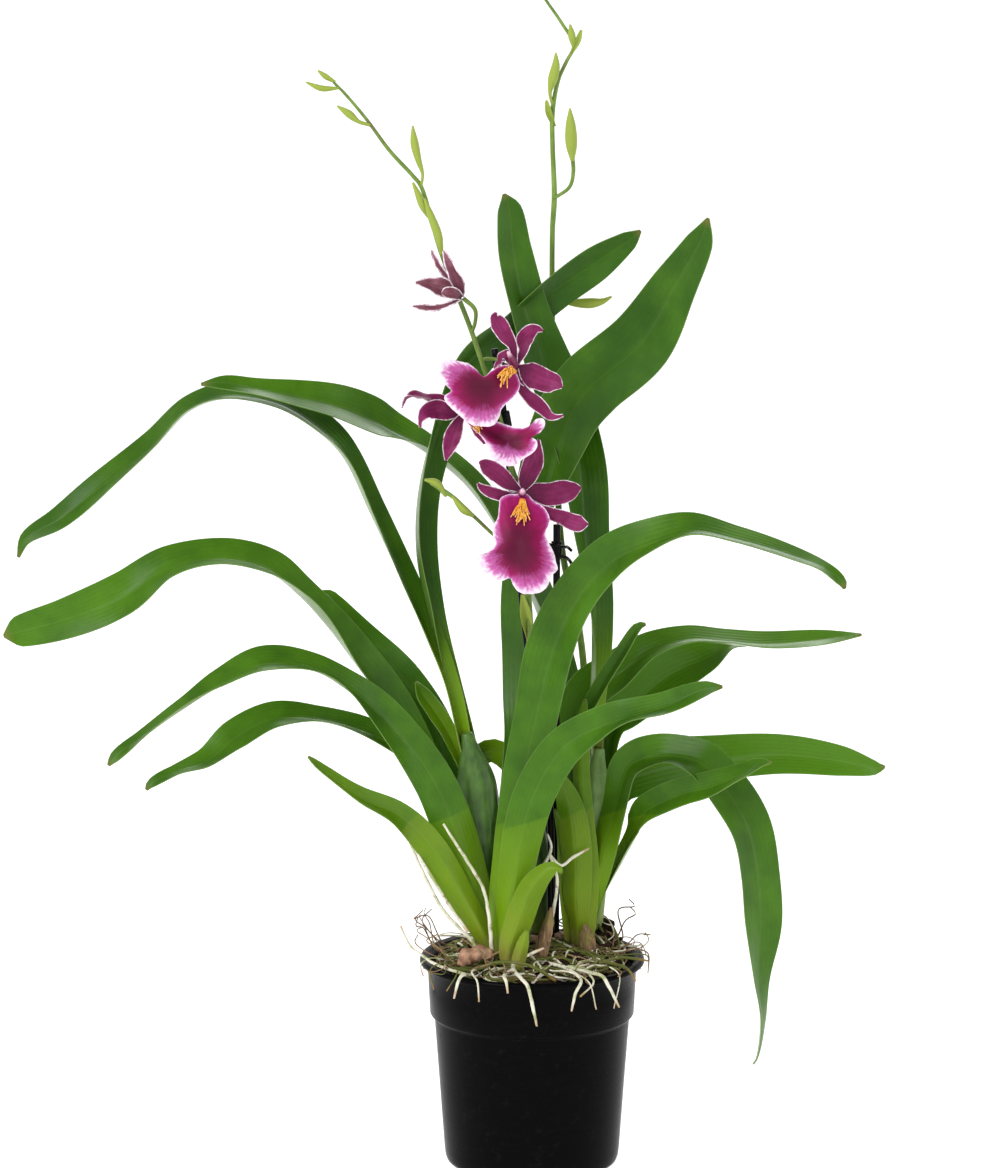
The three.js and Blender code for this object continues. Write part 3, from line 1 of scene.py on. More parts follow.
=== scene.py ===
# %% [markdown]
# A miltonia orchid in a black nursery pot: about two dozen strap leaves fold about their midribs
# and arch away from flattened bulbs, two flower spikes climb along black stakes, and white roots
# creep over the bark. Nearly everything here is a sheet or a rod that follows a line through the
# air. So the lesson first makes one good line, then one sheet and one rod that ride on it, and
# after that each piece of the plant is a short list of places and a finish of its own.

import bpy
import numpy as np
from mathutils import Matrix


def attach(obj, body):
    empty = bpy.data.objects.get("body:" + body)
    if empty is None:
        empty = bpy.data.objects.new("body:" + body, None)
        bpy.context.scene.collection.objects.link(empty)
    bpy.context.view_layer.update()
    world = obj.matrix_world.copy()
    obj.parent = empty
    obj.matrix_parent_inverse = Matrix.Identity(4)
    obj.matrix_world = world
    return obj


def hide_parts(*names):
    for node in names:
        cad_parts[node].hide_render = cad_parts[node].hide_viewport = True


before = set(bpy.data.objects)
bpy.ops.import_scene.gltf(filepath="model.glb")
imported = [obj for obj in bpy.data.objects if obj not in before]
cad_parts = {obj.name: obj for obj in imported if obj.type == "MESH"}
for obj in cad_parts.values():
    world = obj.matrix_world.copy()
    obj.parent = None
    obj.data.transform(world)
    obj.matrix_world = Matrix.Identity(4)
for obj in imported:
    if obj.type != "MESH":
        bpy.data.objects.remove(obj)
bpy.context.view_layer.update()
MM = 0.001

# %% [markdown]
# A growing line has no corners. It could be drawn as a Bezier curve by hand, but then the flat
# faces and the radius along it would be hard to steer. Here a line is a short list of places in
# millimetres, each with the values that change along the way, such as a width or a radius. Every
# stretch between two places is one cubic, whose slopes come from the neighbouring places, and
# the stations are spread evenly by length so that a sheet never bunches up in a bend.

# %% A smooth line through a few places
def cubics(points, gaps):
    """Four coefficient arrays, one row per stretch: the cubic that joins two points and has, at
    each of them, the slope of a spline whose knots lie the given gaps apart."""
    padded = np.vstack([2 * points[0] - points[1], points, 2 * points[-1] - points[-2]])
    chord = np.diff(padded, axis=0)
    before, here, after = (gaps[i:len(gaps) - 2 + i, None] for i in range(3))
    start, end = points[:-1], points[1:]
    first = here * (chord[:-2] / before - (chord[:-2] + chord[1:-1]) / (before + here)) + chord[1:-1]
    last = here * (chord[2:] / after - (chord[1:-1] + chord[2:]) / (here + after)) + chord[1:-1]
    return start, first, 3 * (end - start) - 2 * first - last, 2 * (start - end) + first + last


def route(rows, stations):
    """Places, directions and values at evenly spaced stations. Each row is x, y, z in mm, then the
    values there. A place is c0 + c1 w + c2 w^2 + c3 w^3 on its stretch, w running from 0 to 1."""
    table = np.array(rows, float)
    points, values = table[:, :3], table[:, 3:]
    ends = np.vstack([2 * points[0] - points[1], points, 2 * points[-1] - points[-2]])
    spread = np.sqrt(np.linalg.norm(np.diff(ends, axis=0), axis=1))
    line, carried = cubics(points, spread), cubics(values, np.ones(len(spread)))

    def at(position, parts, slope=False):
        stretch = np.minimum(position.astype(int), len(points) - 2)
        w = (position - stretch)[:, None]
        c0, c1, c2, c3 = (part[stretch] for part in parts)
        return c1 + 2 * c2 * w + 3 * c3 * w**2 if slope else c0 + c1 * w + c2 * w**2 + c3 * w**3

    fine = np.linspace(0, len(points) - 1, 40 * len(points))
    run = np.concatenate([[0], np.cumsum(np.linalg.norm(np.diff(at(fine, line), axis=0), axis=1))])
    even = np.interp(np.linspace(0, run[-1], stations), run, fine)
    heading = at(even, line, slope=True)
    heading /= np.linalg.norm(heading, axis=1, keepdims=True)
    return at(even, line), heading, at(even, carried), run[-1]


print("a line through three places:", np.round(route([(0, 0, 0), (0, 10, 20), (0, 40, 30)], 3)[0]).tolist())

# %% [markdown]
# A leaf and a root are both rings of points, one after another. Blender could loft curves for
# them, but a ring grid made with numpy keeps every point in a known order, so each point can
# carry facts for its finish: how far it is from the margin, or how far along the root. The two
# open ends are closed with a strip of faces, and a body that came out inside out is turned.

# %% Rings to a closed body, bodies to one object
def closed_body(rings, **facts):
    """A closed skin over rings (ring, point, 3) of an even number of points, in mm. Its volume is
    the sum of p0 . (p1 x p2) over the faces, and a negative one turns every face round."""
    count, around = rings.shape[:2]
    index = np.arange(count * around).reshape(count, around)
    beside = np.roll(index, -1, axis=1)
    walls = np.stack([index[:-1], beside[:-1], beside[1:], index[1:]], -1).reshape(-1, 4)
    near = np.arange(around // 2 - 1)
    strip = np.stack([near, near + 1, around - 2 - near, around - 1 - near], -1)
    faces = np.vstack([walls, index[0][strip[:, ::-1]], index[-1][strip]])
    points = rings.reshape(-1, 3)
    a, b, c, d = (points[faces[:, k]] - points.mean(0) for k in range(4))
    volume = np.sum(a * np.cross(b, c)) + np.sum(a * np.cross(c, d))
    if volume < 0:
        faces = faces[:, ::-1]
    return points, faces, {name: np.asarray(values, float) for name, values in facts.items()}


def piece(name, bodies, finish, stands_for=()):
    """One object at the origin from several closed bodies, riding on the plant."""
    starts = np.cumsum([0] + [len(points) for points, _, _ in bodies])
    points = np.vstack([points for points, _, _ in bodies]) * MM
    faces = np.vstack([faces + start for (_, faces, _), start in zip(bodies, starts)])
    mesh = bpy.data.meshes.new(name)
    mesh.vertices.add(len(points))
    mesh.vertices.foreach_set("co", points.ravel())
    mesh.loops.add(faces.size)
    mesh.loops.foreach_set("vertex_index", faces.ravel())
    mesh.polygons.add(len(faces))
    mesh.polygons.foreach_set("loop_start", np.arange(0, faces.size, 4))
    mesh.update(calc_edges=True)
    mesh.shade_smooth()
    for fact in bodies[0][2]:
        values = np.concatenate([facts[fact].reshape(len(body), -1) for body, _, facts in bodies])
        kind, key = ("FLOAT", "value") if values.shape[1] == 1 else ("FLOAT_VECTOR", "vector")
        mesh.attributes.new(fact, kind, "POINT").data.foreach_set(key, values.ravel())
    mesh.materials.append(finish)
    made = bpy.data.objects.new(name, mesh)
    bpy.context.collection.objects.link(made)
    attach(made, "root")
    if stands_for:
        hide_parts(*stands_for)
    print(f"{name}: {len(bodies)} bodies, {2 * len(faces)} triangles")
    return made

# %% [markdown]
# A strap leaf is a flat sheet, folded like a gutter about its midrib and turned more and more
# away from us as it arches. Displacing a flat plane could make one leaf, but two dozen different
# ones would each need posing. So a leaf is a function of two numbers: how far along it is, and
# how far across, from -1 at one margin to 1 at the other. At each station the upper face looks
# at the front, then turns by the row's angle, and both halves fold up by the row's other angle.

# %% A sheet that rides on a line
FRONT = np.array([0.0, -1.0, 0.0])
NARROWEST = 0.9     # mm, so that a tip still has two margins
ROUND_FOLD = 0.006  # how softly the two halves of a blade meet at the midrib
KEEL_WIDTH = 1.1    # mm, half the width of the rib under the midrib
FEWEST_RINGS = 12


def facing(heading, turn):
    """The directions of the upper face and of the right margin: the front made square to the
    line, then turned about it by so many degrees."""
    square = FRONT - heading * (heading @ FRONT)[:, None]
    square /= np.linalg.norm(square, axis=1, keepdims=True)
    angle = np.radians(turn)[:, None]
    face = square * np.cos(angle) + np.cross(heading, square) * np.sin(angle)
    return face, np.cross(face, heading)


def thickened(sheet, thick, keel=0.0):
    """Upper and lower skins over a grid of places, half the thickness above and below it along
    its own normal, which is the cross product of its two slopes. A keel hangs under the lower."""
    normal = np.cross(np.gradient(sheet, axis=0), np.gradient(sheet, axis=1))
    normal /= np.maximum(np.linalg.norm(normal, axis=2, keepdims=True), 1e-9)
    half = np.asarray(thick)[..., None] / 2 * normal
    below = sheet - half - np.asarray(keel)[..., None] * normal
    return np.concatenate([sheet + half, below[:, ::-1]], 1)


def mirrored(grid):
    """The same numbers for the upper skin and, from the right margin back, for the lower one."""
    return np.concatenate([grid, grid[:, ::-1]], 1)


def blade(rows, gap=2.6, columns=17, thick=(0.9, 0.5), wave=0.0, waves=3.0, phase=0.0, keel=0.5,
          ragged=0.0, tint=0.5):
    """A leaf or petal. At station v and column u in -1..1 it is the place + side u h cos f +
    face ((bend(u) - 1) h sin f + wave |u|^2 sin(2 pi waves v + phase)), where h is half the width,
    f the fold and bend(u) = |u| rounded at the midrib. A ragged blade is narrower by the sum of a
    constant and a sine that both grow as v^2. Rows: x, y, z, width, turn, fold."""
    length = route(rows, 2)[3]
    place, heading, values, _ = route(rows, max(int(length / gap), FEWEST_RINGS))
    width, turn, fold = values.T
    along = np.linspace(0, 1, len(place))[:, None]
    across = np.sin(np.linspace(-np.pi / 2, np.pi / 2, columns))[None, :]
    half = np.maximum(width, NARROWEST)[:, None] / 2
    tears = np.sin(1.15 * along * length + 5 * phase + np.sign(across))
    torn = 1 - ragged * (1 + tears) * along**2
    face, side = facing(heading, turn)
    crease = np.sqrt(ROUND_FOLD)
    bend = (np.sqrt(across**2 + ROUND_FOLD) - crease) / (np.sqrt(1 + ROUND_FOLD) - crease)
    angle = np.radians(fold)[:, None]
    swing = np.sin(2 * np.pi * waves * along + phase + np.sign(across))
    ripple = wave * np.sin(np.pi * along) * across**2 * swing
    lift = (bend - 1) * half * np.sin(angle) + ripple
    reach = across * half * np.cos(angle) * torn
    sheet = place[:, None] + side[:, None] * reach[..., None] + face[:, None] * lift[..., None]
    slim = thick[1] + (thick[0] - thick[1]) * (1 - np.abs(across) ** 1.5) * np.ones_like(along)
    from_rib = np.abs(across) * half
    rib = keel * np.exp(-(from_rib / KEEL_WIDTH) ** 2) * np.sin(np.pi * along**0.5)
    rings = thickened(sheet, slim, rib)
    flat = np.ones_like(along * across)
    under = np.concatenate([0 * flat, flat], 1)
    run = along * length * flat
    spot = np.stack([mirrored(across * flat), mirrored(run), mirrored(half - from_rib)], -1)
    detail = np.stack([under, mirrored(from_rib), mirrored(along * flat)], -1)
    return closed_body(rings, spot=spot, detail=detail, tint=np.full(rings.shape[:2], tint))

# %% [markdown]
# Stems, roots, stakes and buds are rods: a circle carried along the same kind of line while its
# radius changes. The circle must not spin as it travels, so each ring takes over the direction
# of the one before it, tilted only as much as the line has turned. A bud is a rod too, fat in the
# middle, with three soft ribs where its outer petals meet.

# %% A rod that rides on a line
THINNEST = 0.08  # mm
ASTRAY = (0.31, 0.95, 0.07)  # any direction that no stem starts along


def rod(rows, gap=2.0, sides=12, ribs=0, rib=0.0, knobs=0.0, knob_length=9.0, seed=0, tint=0.5):
    """Point k of ring i is the place + r (cos a across + sin a beside), where r is the row's
    radius (1 + rib cos(ribs a) + knobs b), s is the run so far, and b is sin(2 pi s / knob length
    + a) with a second, smaller wave that winds the other way."""
    length = route(rows, 2)[3]
    place, heading, values, _ = route(rows, max(int(length / gap), 6))
    radius = np.maximum(values[:, :1], THINNEST)
    across = np.empty_like(heading)
    across[0] = np.cross(heading[0], ASTRAY)
    for i in range(1, len(heading)):
        across[i] = across[i - 1] - heading[i] * (across[i - 1] @ heading[i])
    across -= heading * np.sum(across * heading, axis=1, keepdims=True)
    across /= np.linalg.norm(across, axis=1, keepdims=True)
    beside = np.cross(heading, across)
    angle = 2 * np.pi * np.arange(sides)[None, :] / sides
    run = np.linspace(0, length, len(place))[:, None]
    bump = knobs * (np.sin(2 * np.pi * run / knob_length + angle + seed)
                    + 0.6 * np.sin(5.3 * run / knob_length - 2 * angle + 2 * seed))
    reach = (radius * (1 + rib * np.cos(ribs * angle) + bump))[..., None]
    out = np.cos(angle)[..., None] * across[:, None] + np.sin(angle)[..., None] * beside[:, None]
    rings = place[:, None] + reach * out
    spot = np.stack([np.cos(angle) + 0 * run, run + 0 * angle, length - run + 0 * angle], -1)
    return closed_body(rings, spot=spot, tint=np.full(rings.shape[:2], tint))

# %% [markdown]
# The lip is the showpiece of the flower: one broad petal with lobes, notches and a frilled pale
# border. Its outline is what the eye knows, so it is drawn as a closed line of listed places
# round the border, and the petal is stretched between that line and a place in its middle, as
# cloth over a hoop. The fourth value of a row is how far the pale border reaches inwards there.

# %% A frilled lip inside a closed outline
def twice(grid):
    """The same numbers for the upper skin and, from the rim back inwards, for the lower one."""
    return np.concatenate([grid, grid[::-1]])


def lip(centre, border, dome=2.5, frill=1.1, frills=17, rings=30, points=216, thick=(0.8, 0.45)):
    """The border is a sum of waves round the lip, and the wave of number k fades as r^(1 + k / 3)
    towards the middle, so notches stay at the rim. To that the front dome (r - r^3) is added, and
    a frill r^5 sin(frills s + 2 sin 3 s) that grows where the pale border is broad."""
    # The line runs on past its start, and one turn is cut out between two passes of a place.
    place, _, values, _ = route(border + border[:3], 4 * points)
    away = np.linalg.norm(place - np.array(border[1][:3], float), axis=1)
    start = np.argmin(away[:points])
    stop = 2 * points + np.argmin(away[2 * points:])
    pick = np.linspace(start, stop, points, endpoint=False).astype(int)
    edge, pale = place[pick], values[pick, 0]
    turn = 2 * np.pi * np.arange(points)[None, :] / points
    reach = np.sin(np.linspace(0.01, 1, rings) * np.pi / 2)[:, None]
    waves = np.fft.rfft(edge, axis=0)
    fade = reach ** (1 + (np.arange(len(waves)) - 1) / 3)[None, :]
    fade[:, 0] = reach[:, 0] ** 2
    sheet = np.fft.irfft(waves[None] * fade[..., None], points, axis=1)
    sheet += (1 - fade[:, :1, None]) * np.array(centre, float)
    ruffle = np.sin(frills * turn + 2 * np.sin(3 * turn)) + 0.4 * np.sin(2.3 * frills * turn)
    rise = dome * (reach - reach**3) + frill * reach**5 * ruffle * np.clip(pale / 4, 0.25, 1.2)
    sheet = sheet + FRONT * rise[..., None]
    slim = thick[1] + (thick[0] - thick[1]) * (1 - reach) + 0 * turn
    closed = np.concatenate([sheet[:, -1:], sheet, sheet[:, :1]], 1)
    normal = np.cross(np.gradient(closed, axis=0), np.gradient(closed, axis=1))[:, 1:-1]
    normal *= np.sign(np.sum(normal @ FRONT))
    normal /= np.maximum(np.linalg.norm(normal, axis=2, keepdims=True), 1e-9)
    half = normal * slim[..., None] / 2
    shell = np.concatenate([sheet + half, (sheet - half)[::-1]])
    from_edge = (1 - reach) * np.linalg.norm(edge - np.array(centre, float), axis=1)[None]
    share = from_edge / np.maximum(pale, 0.6)[None]
    spot = np.stack([twice(turn + 0 * reach), twice(share), twice(from_edge)], -1)
    back = np.concatenate([0 * slim, 0 * slim + 1])
    detail = np.stack([back, twice(reach + 0 * turn), twice(pale[None] + 0 * reach)], -1)
    return closed_body(shell, spot=spot, detail=detail, tint=np.full(shell.shape[:2], 0.5))

# %% [markdown]
# The colours and the fine relief are worked out in the materials. In the node editor every sum
# and product would be a box with wires, and a formula of ten terms a page of them. A small
# wrapper lets the same maths be written as Python: each operator adds its Math node. Colours go
# through Mix nodes, because a Math node would turn them grey.

# %% A socket that can be calculated with, and a maker of finishes
class Varying:
    """A number that changes over a surface."""

    def __init__(self, finish, socket):
        self.finish = finish
        self.socket = socket

    def maths(self, operation, *others, first=None):
        inputs = [self if first is None else first, *(others if first is None else (self,))]
        return self.finish.node("ShaderNodeMath", {"operation": operation}, dict(enumerate(inputs)))

    def __add__(self, other):
        return self.maths("ADD", other)

    __radd__ = __add__

    def __sub__(self, other):
        return self.maths("SUBTRACT", other)

    def __rsub__(self, other):
        return self.maths("SUBTRACT", first=other)

    def __mul__(self, other):
        return self.maths("MULTIPLY", other)

    __rmul__ = __mul__

    def __truediv__(self, other):
        return self.maths("DIVIDE", other)

    def sine(self):
        return self.maths("SINE")

    def ramp(self, low, high):
        """0 below low, 1 above high, and a soft step between them."""
        settings = {"interpolation_type": "SMOOTHSTEP"}
        inputs = {"Value": self, "From Min": low, "From Max": high}
        return self.finish.node("ShaderNodeMapRange", settings, inputs)


def colour(code):
    """The linear colour of a hex code."""
    parts = np.array([int(code[i:i + 2], 16) for i in (1, 3, 5)]) / 255
    return (*np.where(parts < 0.04045, parts / 12.92, ((parts + 0.055) / 1.055) ** 2.4), 1.0)


class Finish:
    """A material: one Principled surface with constants, and nodes for what varies."""

    def __init__(self, name, **constants):
        self.material = bpy.data.materials.new(name)
        self.material.use_nodes = True
        self.tree = self.material.node_tree
        self.surface = self.tree.nodes["Principled BSDF"]
        for key, value in constants.items():
            socket = key.replace("_", " ").title().replace("Ior", "IOR")
            self.surface.inputs[socket].default_value = value

    def feed(self, socket, value):
        if isinstance(value, Varying):
            self.tree.links.new(value.socket, socket)
        else:
            socket.default_value = value

    def node(self, kind, settings=None, inputs=None, output=0):
        """Any node: its settings, then the values or links of its sockets, then one output."""
        made = self.tree.nodes.new(kind)
        for key, value in (settings or {}).items():
            setattr(made, key, value)
        for key, value in (inputs or {}).items():
            self.feed(made.inputs[key], value)
        return Varying(self, made.outputs[output])

    def fact(self, name, output="Vector"):
        return self.node("ShaderNodeAttribute", {"attribute_name": name}, output=output)

    def facts(self, name):
        """The three numbers of a vector that the piece carries at each point."""
        vector = self.fact(name)
        return [self.node("ShaderNodeSeparateXYZ", inputs={0: vector}, output=k) for k in range(3)]

    def place(self):
        return self.node("ShaderNodeTexCoord", output="Object")

    def noise(self, size, detail=3.0, rough=0.55, at=None):
        """Cloudy noise in 0..1 whose lumps are about the given size in mm."""
        inputs = {"Vector": at or self.place(), "Scale": 1 / (size * MM)}
        inputs |= {"Detail": detail, "Roughness": rough}
        return self.node("ShaderNodeTexNoise", inputs=inputs)

    def mix(self, share, a, b):
        """Colour a where the share is 0, and b where it is 1."""
        return self.node("ShaderNodeMix", {"data_type": "RGBA"}, {0: share, 6: a, 7: b}, output=2)

    def grain(self, at, stretch):
        """Coordinates for a noise that is drawn out along one direction."""
        return self.node("ShaderNodeVectorMath", {"operation": "MULTIPLY"}, {0: at, 1: stretch})

    def relief(self, height, depth):
        """Bump of so many mm where height is 1."""
        inputs = {"Strength": 1.0, "Distance": depth * MM, "Height": height}
        return self.node("ShaderNodeBump", inputs=inputs)

    def done(self, **inputs):
        for key, value in inputs.items():
            self.feed(self.surface.inputs[key.replace("_", " ").title()], value)
        print(f"finish {self.material.name}: {len(self.tree.nodes)} nodes")
        return self.material

# %% [markdown]
# A living leaf is a satin sheet of many close lengthwise veins. Its foot is a bright yellow-green
# where it comes out of the growth, its blade a deeper green with cloudy patches, its underside
# greyer, and a hair-thin pale line runs along each margin and under the midrib. All of these
# follow the leaf, so the finish reads the facts that the sheet carries. One mark doesn't: the
# blade breaks off its clasping foot at a slanting joint, and in one growth the joints stand about
# equally high above the pot, so that line is read from the height.

# %% Leaf finish
VEINS = 34.0           # as an angle from the midrib to a margin, about eleven waves in all
MARGIN_LINE = 0.45     # mm, the pale edge
RIB_LINE = 0.9         # mm, the pale midrib
TAN_FOOT = 14.0        # mm, dry where the leaf leaves the ground
JOINT_TOP = 196.0      # mm above the table
JOINT_SLANT = 4.0      # mm from the middle of the leaf to its margin
JOINT_SPREAD = 14.0    # mm between the joints of the darkest and of the brightest leaf
SHEATH_REACH = 140.0   # mm along the leaf, past which a drooping leaf may hang below the joints


def leaf_finish(name, deep, fresh, foot, below, foot_length):
    """Colour = mottled green, fresher towards the foot, pale at margin and rib, greyer below."""
    f = Finish(name, roughness=0.4, specular_ior_level=0.12, coat_weight=0.5, coat_roughness=0.26,
               coat_ior=1.2, subsurface_weight=0.08, subsurface_scale=0.002)
    f.surface.inputs["Subsurface Radius"].default_value = (0.5, 1.0, 0.2)
    across, run, margin = f.facts("spot")
    under, rib, share = f.facts("detail")
    tint = f.fact("tint", "Fac")
    cloud = f.noise(26)
    # The tint moves each leaf between the deep and the fresh green. This is partly the leaf's own tone, and
    # on some leaves it is a painted highlight of glare.
    green = f.mix((cloud * 0.9 + tint - 0.45).ramp(0.1, 0.9), colour(deep), colour(fresh))
    streaks = f.noise(1.0, detail=2.0, at=f.grain(f.place(), (1.0, 1.0, 0.12)))
    veins = (across * VEINS).sine() * 0.5 + 0.5
    green = f.mix((1 - veins) * 0.1 + streaks * 0.16, green, colour(deep))
    green = f.mix((1 - (run / foot_length).ramp(0.4, 1.5)) * 0.9, green, colour(foot))
    height = f.node("ShaderNodeSeparateXYZ", inputs={0: f.place()}, output=2)
    joint = height / MM + across * JOINT_SLANT + tint * JOINT_SPREAD - JOINT_TOP
    sheath = (1 - joint.ramp(0.0, 1.4)) * (1 - (run / SHEATH_REACH).ramp(0.9, 1.0))
    green = f.mix(sheath * 0.3, green, colour(foot))
    green = f.mix((1 - (run / TAN_FOOT).ramp(0.2, 1.3)) * 0.6, green, colour("#8d7c4a"))
    green = f.mix(under * 0.5, green, colour(below))
    pale_line = 1 - (margin / MARGIN_LINE).ramp(0.35, 1.0)
    rib_line = (1 - (rib / RIB_LINE).ramp(0.2, 1.0)) * (0.12 + under * 0.25)
    green = f.mix((pale_line * 0.25 + rib_line).ramp(0.0, 1.1), green, colour("#aebf7c"))
    dry = (share - 0.985).ramp(0.0, 0.015) * 0.5
    green = f.mix(dry, green, colour("#7a6a3a"))
    sheen = f.noise(9) * 0.16 + 0.32
    height = veins * 0.5 + streaks * 0.35 + (rib / 1.2).ramp(0.0, 1.0) * 0.5
    return f.done(base_color=green, roughness=sheen, normal=f.relief(height, 0.12))


LEAF = leaf_finish("mature leaf", "#2a500a", "#4d7a12", "#678a08", "#6a8a40", 60)
YOUNG_LEAF = leaf_finish("young leaf", "#446a06", "#64890a", "#758a1a", "#6f8c30", 30)

